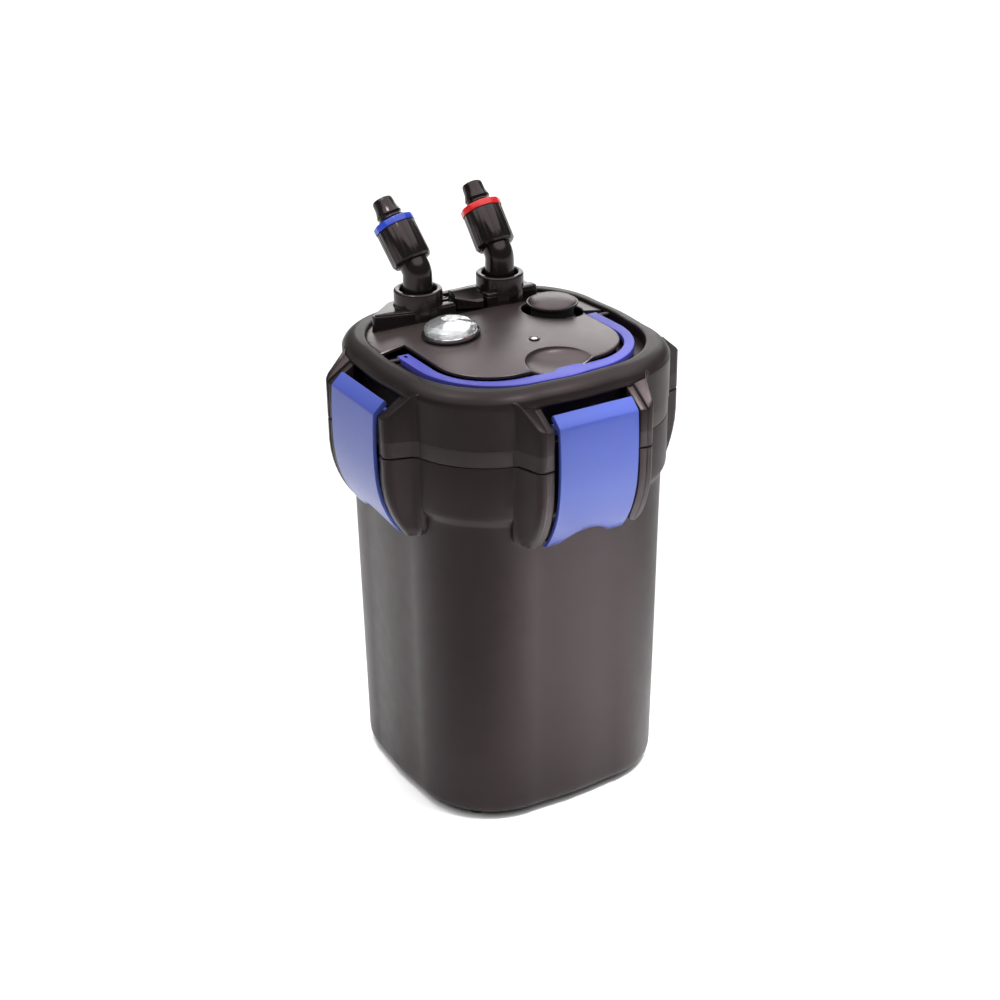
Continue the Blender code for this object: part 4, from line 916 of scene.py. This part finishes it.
def build_valve_block():
    low, high, slot_floor = 0.3791, 0.3926, 0.3818
    slot_left, slot_right, slot_back = -0.0128, 0.0168, 0.0842
    rear = BLOCK_PLAN[-2][1]
    shape = Shape()
    base = rounded(BLOCK_PLAN, [0.0016, 0.0030, 0.0035, 0.0030, 0.0030, 0.0030, 0.0016], 4)
    shape.slab(base, low, slot_floor, 0.0006)
    left_end, left_front, right_front, right_rear, right_back, left_back, left_rear = BLOCK_PLAN
    left = [left_end, left_front, (slot_left, left_front[1]), (slot_left, rear), left_back,
            left_rear]
    shape.slab(rounded(left, [0.0016, 0.0030, 0.0008, 0.0008, 0.0030, 0.0016], 4),
               slot_floor - 0.0020, high, 0.0014, 4)
    right = [(slot_right, right_front[1]), right_front, right_rear, right_back,
             (slot_right, rear)]
    shape.slab(rounded(right, [0.0008, 0.0035, 0.0030, 0.0030, 0.0008], 4),
               slot_floor - 0.0020, high, 0.0014, 4)
    block(shape, (slot_left - 0.0010, slot_back, slot_floor - 0.0020),
          (slot_right + 0.0010, rear, high - 0.0004), 0.0008)
    block(shape, (slot_left - 0.0010, right_front[1] + 0.0004, slot_floor - 0.0020),
          (slot_right + 0.0010, 0.0632, 0.3840), 0.0006)
    bar = rounded([(-0.0835, 0.0634), (-0.0538, 0.0550), (-0.0134, 0.0550), (-0.0134, 0.0620),
                   (-0.0500, 0.0640), (-0.0800, 0.0668)], 0.0012, 3)
    shape.slab(bar, high - 0.0020, 0.3940, 0.0012, 4)
    stout = rounded(rectangle(0.0172, 0.0548, 0.0656, 0.0650), 0.0030, 5)
    shape.slab(stout, 0.3860, 0.3954, 0.0026, 5)
    for step in range(3):
        along = 0.0042 * step
        rib = rounded(rectangle(-0.0215, 0.0655 + along, -0.0134, 0.0680 + along), 0.0008, 3)
        shape.slab(rib, high - 0.0020, 0.3946, 0.0006)
    bore = 0.0124
    collar = [(bore, 0.3800), (bore, 0.4006), (0.0127, 0.4010), (0.0145, 0.4012),
              (0.0148, 0.4016), (0.0148, 0.4052), (0.0151, 0.4059), (0.0158, 0.4065),
              (0.0165, 0.4068), (0.0182, 0.4068), (0.0190, 0.4066), (0.0197, 0.4060),
              (0.0200, 0.4051), (0.0200, 0.3946), (0.0202, 0.3936), (0.0207, 0.3926),
              (0.0207, 0.3800)]
    spout = [(0.0080, 0.3712), (0.0110, 0.3712), (0.0112, 0.3716), (0.0112, 0.3750),
             (0.0143, 0.3750), (0.0145, 0.3753), (0.0145, 0.3840), (bore, 0.3840),
             (bore, 0.3772), (0.0080, 0.3772)]
    for socket in SOCKETS:
        place = Matrix.Translation((*socket, 0))
        shape.turned(collar, 96, True, place)
        shape.turned(spout, 64, True, place)
    shape.build("valve_block_moulding", "tap_block", TAP, "tap_plastic", "valve_block")


def build_lever():
    outline = rounded([(-0.0100, 0.0600), (0.0060, 0.0522), (0.0122, 0.0522), (0.0140, 0.0560),
                       (0.0140, 0.0740), (-0.0100, 0.0740)],
                      [0.0020, 0.0012, 0.0014, 0.0020, 0.0016, 0.0016], 4)
    heights = ((0.0520, 0.3922), (0.0600, 0.3957), (0.0660, 0.3982), (0.0690, 0.3991),
               (0.0740, 0.3984))

    def top(x, y):
        return float(np.interp(y, [part[0] for part in heights], [part[1] for part in heights]))

    shape = Shape()
    plate(shape, outline, [], top, lambda x, y: 0.3866, 0.0020, 0.0008)
    turn = Matrix.Translation((0, SOCKETS[0][1], 0.3878)) @ Matrix.Rotation(math.pi / 2, 4, "Y")
    shape.turned([(0.0, -0.0120), (0.0052, -0.0120), (0.0055, -0.0117), (0.0055, 0.0157),
                  (0.0052, 0.0160), (0.0, 0.0160)], 48, place=turn)
    shape.build("valve_lever_wedge", "tap_lever", TAP, "tap_plastic", "valve_lever")


def elbow_path():
    """Centreline of an elbow about its bend: up, then leaning towards local +X."""
    bend = 0.0100
    reach = bend * math.tan(ELBOW_LEAN / 2)
    path = [Vector((0, 0, z)) for z in (-0.0220, -0.0160, -0.0100, -0.0060, -reach)]
    for step in range(1, 11):
        angle = ELBOW_LEAN * step / 10
        path.append(Vector((bend * (1 - math.cos(angle)), 0, bend * math.sin(angle) - reach)))
    lean = Vector((math.sin(ELBOW_LEAN), 0, math.cos(ELBOW_LEAN)))
    path += [lean * reach for reach in (0.0070, 0.0110, 0.0200, 0.0336, 0.0340)]
    return path


def twelve_sided(shape, levels, bore, place):
    """A twelve-sided sleeve with softened corners, from (radius, z) levels, with a bore."""
    rings = [level(rounded(circle(radius, steps=12), 0.0011, 3), z) for radius, z in levels]
    count = len(rings[0])
    rings += [level(circle(bore, steps=count), z) for z in (levels[-1][1], levels[0][1])]
    return shape.skin(rings, True, place)


def build_tap(name, socket, heading, ring_finish, ring_slot):
    foot = Matrix.Translation((*socket, BEND_Z)) @ Matrix.Rotation(heading, 4, "Z")
    lean = foot @ Matrix.Rotation(ELBOW_LEAN, 4, "Y") @ Matrix.Translation((0, 0, NUT_START))
    body = name + "_elbow"
    elbow = Shape()
    path = elbow_path()
    outer = [0.0123, 0.0123, 0.0122, 0.0121] + [0.0120] * (len(path) - 5) + [0.0117]
    inner = [0.0085] * len(path)
    elbow.skin(sweep_rings(path, outer) + sweep_rings(path, inner)[::-1], True, foot)
    elbow.build("elbow_%s_pipe" % name, body, TAP, "tap_plastic", "elbow_" + name)

    nut = Shape()
    levels = [(0.0150, 0.0), (0.0156, 0.0002), (0.0168, 0.0018), (0.0170, 0.0022),
              (0.0170, NUT_LENGTH - 0.0005), (0.0167, NUT_LENGTH)]
    twelve_sided(nut, levels, 0.0124, lean)
    for step in range(12):
        turn = lean @ Matrix.Rotation(math.pi / 6 * (step + 0.5), 4, "Z")
        block(nut, (0.0158, -0.0009, 0.0030), (0.01668, 0.0009, NUT_LENGTH - 0.0010), 0.0003,
              turn)
    nut.build("hose_nut_%s_sleeve" % name, name + "_nut", TAP, "tap_plastic", "hose_nut_" + name)

    ring = Shape()
    low, high = NUT_LENGTH + GAP, NUT_LENGTH + GAP + RING_HEIGHT
    levels = [(0.0172, low), (0.0175, low + 0.0003), (0.0175, high - 0.0010),
              (0.0172, high - 0.0004), (0.0166, high)]
    twelve_sided(ring, levels, 0.0114, lean)
    ring.build("nut_ring_%s_band" % name, name + "_nut", ring_finish, ring_slot,
               "nut_ring_" + name)

    tip = TAIL_TIP
    profile = [(0.0066, tip - 0.0004), (0.0070, tip), (0.0078, tip), (0.0082, tip - 0.0003),
               (0.0086, tip - 0.0012), (0.0088, tip - 0.0030), (0.0091, tip - 0.0080),
               (0.0099, tip - 0.0108), (0.0105, tip - 0.0128), (0.0108, tip - 0.0137),
               (0.0107, tip - 0.0142), (0.0098, tip - 0.0146), (0.0096, tip - 0.0152),
               (0.0098, tip - 0.0158), (0.0106, tip - 0.0168), (0.0108, tip - 0.0174),
               (0.0106, tip - 0.0179), (0.0097, tip - 0.0183), (0.0097, NUT_LENGTH + 0.0003),
               (0.0100, NUT_LENGTH), (0.0117, NUT_LENGTH), (0.0117, 0.0262), (0.0066, 0.0262)]
    tail = Shape().turned(profile, 72, True, lean)
    tail.build("hose_tail_%s_nozzle" % name, body, TAP, "tap_plastic", "hose_tail_" + name)


def build_gland():
    start = Vector((0.0910, 0.0910, 0.3550))
    place = Matrix.Translation(start) @ Vector((1, 1, 0)).to_track_quat("Z", "Y").to_matrix().to_4x4()
    profile = [(0.0032, 0.0), (0.0045, 0.0), (0.0045, 0.0047), (0.0076, 0.0047), (0.0080, 0.0051),
               (0.0080, 0.0073), (0.0076, 0.0077), (0.0050, 0.0077), (0.0050, 0.0086),
               (0.0043, 0.0088), (0.0043, 0.0096), (0.0048, 0.0098), (0.0048, 0.0108),
               (0.0042, 0.0110), (0.0042, 0.0118), (0.0046, 0.0120), (0.0046, 0.0136),
               (0.0042, 0.0140), (0.0032, 0.0140)]
    Shape().turned(profile, 48, True, place).build("power_gland_sleeve", "head", RUBBER,
                                                  "rubber", "power_gland")


# Filter media

def build_ceramic_media():
    """Short tubes of fired clay, tumbled in layers in the bottom basket."""
    low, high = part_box("ceramic_media")
    rng = np.random.default_rng(7)
    shape = Shape()
    radius, bore, length = 0.0074, 0.0030, 0.0140
    floor = low.z
    for layer in range(5):
        for across in range(11):
            for along in range(11):
                x = low.x + 0.0115 + across * (high.x - low.x - 0.023) / 10
                y = low.y + 0.0115 + along * (high.y - low.y - 0.023) / 10
                near_pipe = math.dist((x, y), SOCKETS[0]) < 0.0215
                corner = math.hypot(max(abs(x) - 0.055, 0), max(abs(y) - 0.055, 0)) > 0.033
                if near_pipe or corner or (0 < layer < 4 and 2 < across < 8 and 2 < along < 8):
                    continue
                spin = rng.uniform(0, math.pi)
                tip = rng.uniform(0.9, 1.57)
                place = (Matrix.Translation((x, y, floor + 0.0090 + layer * 0.0139))
                         @ Matrix.Rotation(spin, 4, "Z") @ Matrix.Rotation(tip, 4, "X"))
                half = length / 2
                shape.turned([(bore, -half), (radius - 0.0006, -half), (radius, -half + 0.0006),
                              (radius, half - 0.0006), (radius - 0.0006, half), (bore, half)],
                             14, True, place)
    shape.build("ceramic_rings", "canister_body", CERAMIC, "ceramic", "ceramic_media")


def build_pad(name, cad, finish, slot, lumps):
    """A cut block of soft medium with a dimpled skin and a hole for the pipe."""
    low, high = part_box(cad)
    half = high.x - BULGE - 0.0004
    outline = in_plan(wall_ring(half, 0))[::2]
    hole = circle(0.0112, SOCKETS[0], 40)
    rng = np.random.default_rng(3)
    waves = rng.uniform(-1, 1, (24, 3))

    def uneven(x, y):
        return sum(math.sin((part[0] * x + part[1] * y) * lumps + part[2] * 9)
                   for part in waves) / len(waves)

    shape = Shape()
    plate(shape, outline, [hole], lambda x, y: high.z - 0.0022 + 0.0030 * uneven(x, y),
          lambda x, y: low.z + 0.0006 + 0.0010 * abs(uneven(y, x)), 0.0040, 0.0020)
    item = shape.build(name, "canister_body", finish, slot, cad, sharp=60)


build_canister()
build_feet()
build_band()
build_cover()
build_top_plate()
build_status_lens()
build_flow_window()
build_primer()
build_handle()
build_latches()
build_valve_block()
build_lever()
for tap in TAP_SIDES:
    build_tap(*tap)
build_gland()
build_ceramic_media()
build_pad("sponge_pad", "coarse_sponge", SPONGE, "sponge", 900)
build_pad("floss_pad", "filter_floss", FLOSS, "floss", 420)

# Frame pieces that show as they are, each with its own finish
CARRIED = {
    "basket_bottom": BAND, "basket_middle": BAND, "basket_top": BAND, "impeller_cover": BAND,
    "primer_cylinder": BAND, "ball_valve_left": WHITE, "ball_valve_right": WHITE,
    "impeller": WHITE, "rotor_magnet": GREY, "intake_pipe": GREY, "outlet_duct": GREY,
    "stator": POTTED, "main_seal": RUBBER, "shaft_bush_upper": RUBBER,
    "shaft_bush_lower": RUBBER, "rotor_shaft": CERAMIC, "primer_spring": STEEL,
}
for name in SIDES:
    CARRIED["latch_pin_" + name] = STEEL
for index in range(1, 5):
    CARRIED["stator_screw_%d" % index] = STEEL
for name, finish in CARRIED.items():
    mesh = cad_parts[name].data
    mesh.materials.clear()
    mesh.materials.append(finish)
    mesh.polygons.foreach_set("material_index", [0] * len(mesh.polygons))


# Stage

CAMERA_SPOT = (-0.69784, -1.16446, 0.89184)
CAMERA_ANGLES = (-30.7186, 25.8288, -0.6723)
CAMERA_LENS = 65.27


def add_floor():
    material = bpy.data.materials.new("studio_floor")
    material.use_nodes = True
    tree = material.node_tree
    shader = tree.nodes["Principled BSDF"]
    shader.inputs["Base Color"].default_value = (0.80, 0.80, 0.80, 1)
    shader.inputs["Roughness"].default_value = 0.9
    shader.inputs["Specular IOR Level"].default_value = 0.1
    mesh = bpy.data.meshes.new("floor")
    mesh.from_pydata(level(rectangle(-60, -60, 60, 60), 0), [], [(0, 1, 2, 3)])
    mesh.materials.append(material)
    floor = bpy.data.objects.new("floor", mesh)
    bpy.context.scene.collection.objects.link(floor)


def add_area(name, width, height, power):
    """A rectangular lamp, still to be placed."""
    light = bpy.data.lights.new(name, "AREA")
    light.shape = "RECTANGLE"
    light.size, light.size_y = width, height
    light.energy = power
    item = bpy.data.objects.new(name, light)
    bpy.context.scene.collection.objects.link(item)
    return item


def add_panel(name, spot, aim, width, height, power):
    item = add_area(name, width, height, power)
    item.location = spot
    item.rotation_euler = (Vector(aim) - Vector(spot)).to_track_quat("-Z", "Y").to_euler()


def add_strip(name, start, heading, length, width, power):
    """A gridded lamp overhead for a strip of floor that runs out from the object."""
    item = add_area(name, length, width, power)
    item.data.spread = math.radians(50)
    turn = math.radians(heading)
    item.location = (start[0] + length / 2 * math.cos(turn),
                     start[1] + length / 2 * math.sin(turn), 0.9)
    item.rotation_euler.z = turn


def add_sun(name, strength, spread_angle):
    """Even light from straight above, from a patch of sky that wide."""
    light = bpy.data.lights.new(name, "SUN")
    light.energy = strength
    light.angle = math.radians(spread_angle)
    bpy.context.scene.collection.objects.link(bpy.data.objects.new(name, light))


def add_camera():
    """The photograph's viewpoint, from a fit to the outline of the housing."""
    turn, rise, roll = (math.radians(part) for part in CAMERA_ANGLES)
    back = Vector((math.sin(turn) * math.cos(rise), -math.cos(turn) * math.cos(rise),
                   math.sin(rise)))
    right = Vector((math.cos(turn), math.sin(turn), 0))
    up = back.cross(right)
    right, up = (math.cos(roll) * right + math.sin(roll) * up,
                 math.cos(roll) * up - math.sin(roll) * right)
    data = bpy.data.cameras.new("camera")
    data.lens = CAMERA_LENS
    data.sensor_width = 36
    camera = bpy.data.objects.new("camera", data)
    aim = Matrix((right, up, back)).transposed().to_4x4()
    camera.matrix_world = Matrix.Translation(CAMERA_SPOT) @ aim
    bpy.context.scene.collection.objects.link(camera)
    bpy.context.scene.camera = camera


world = bpy.data.worlds.new("studio")
world.use_nodes = True
world.node_tree.nodes["Background"].inputs["Color"].default_value = (1, 1, 1, 1)
world.node_tree.nodes["Background"].inputs["Strength"].default_value = 0.16
bpy.context.scene.world = world
bpy.context.scene.view_settings.view_transform = "Standard"
add_floor()
add_sun("overhead", 3.7, 100)
add_panel("back_wall", (1.6, 2.2, 1.3), (0, 0, 0.3), 2.2, 1.3, 24)
add_strip("left_strip", (-0.175, 0.030), 122, 0.75, 0.10, 1.6)
add_strip("right_strip", (0.060, -0.230), -59, 0.85, 0.12, 8.0)
add_camera()
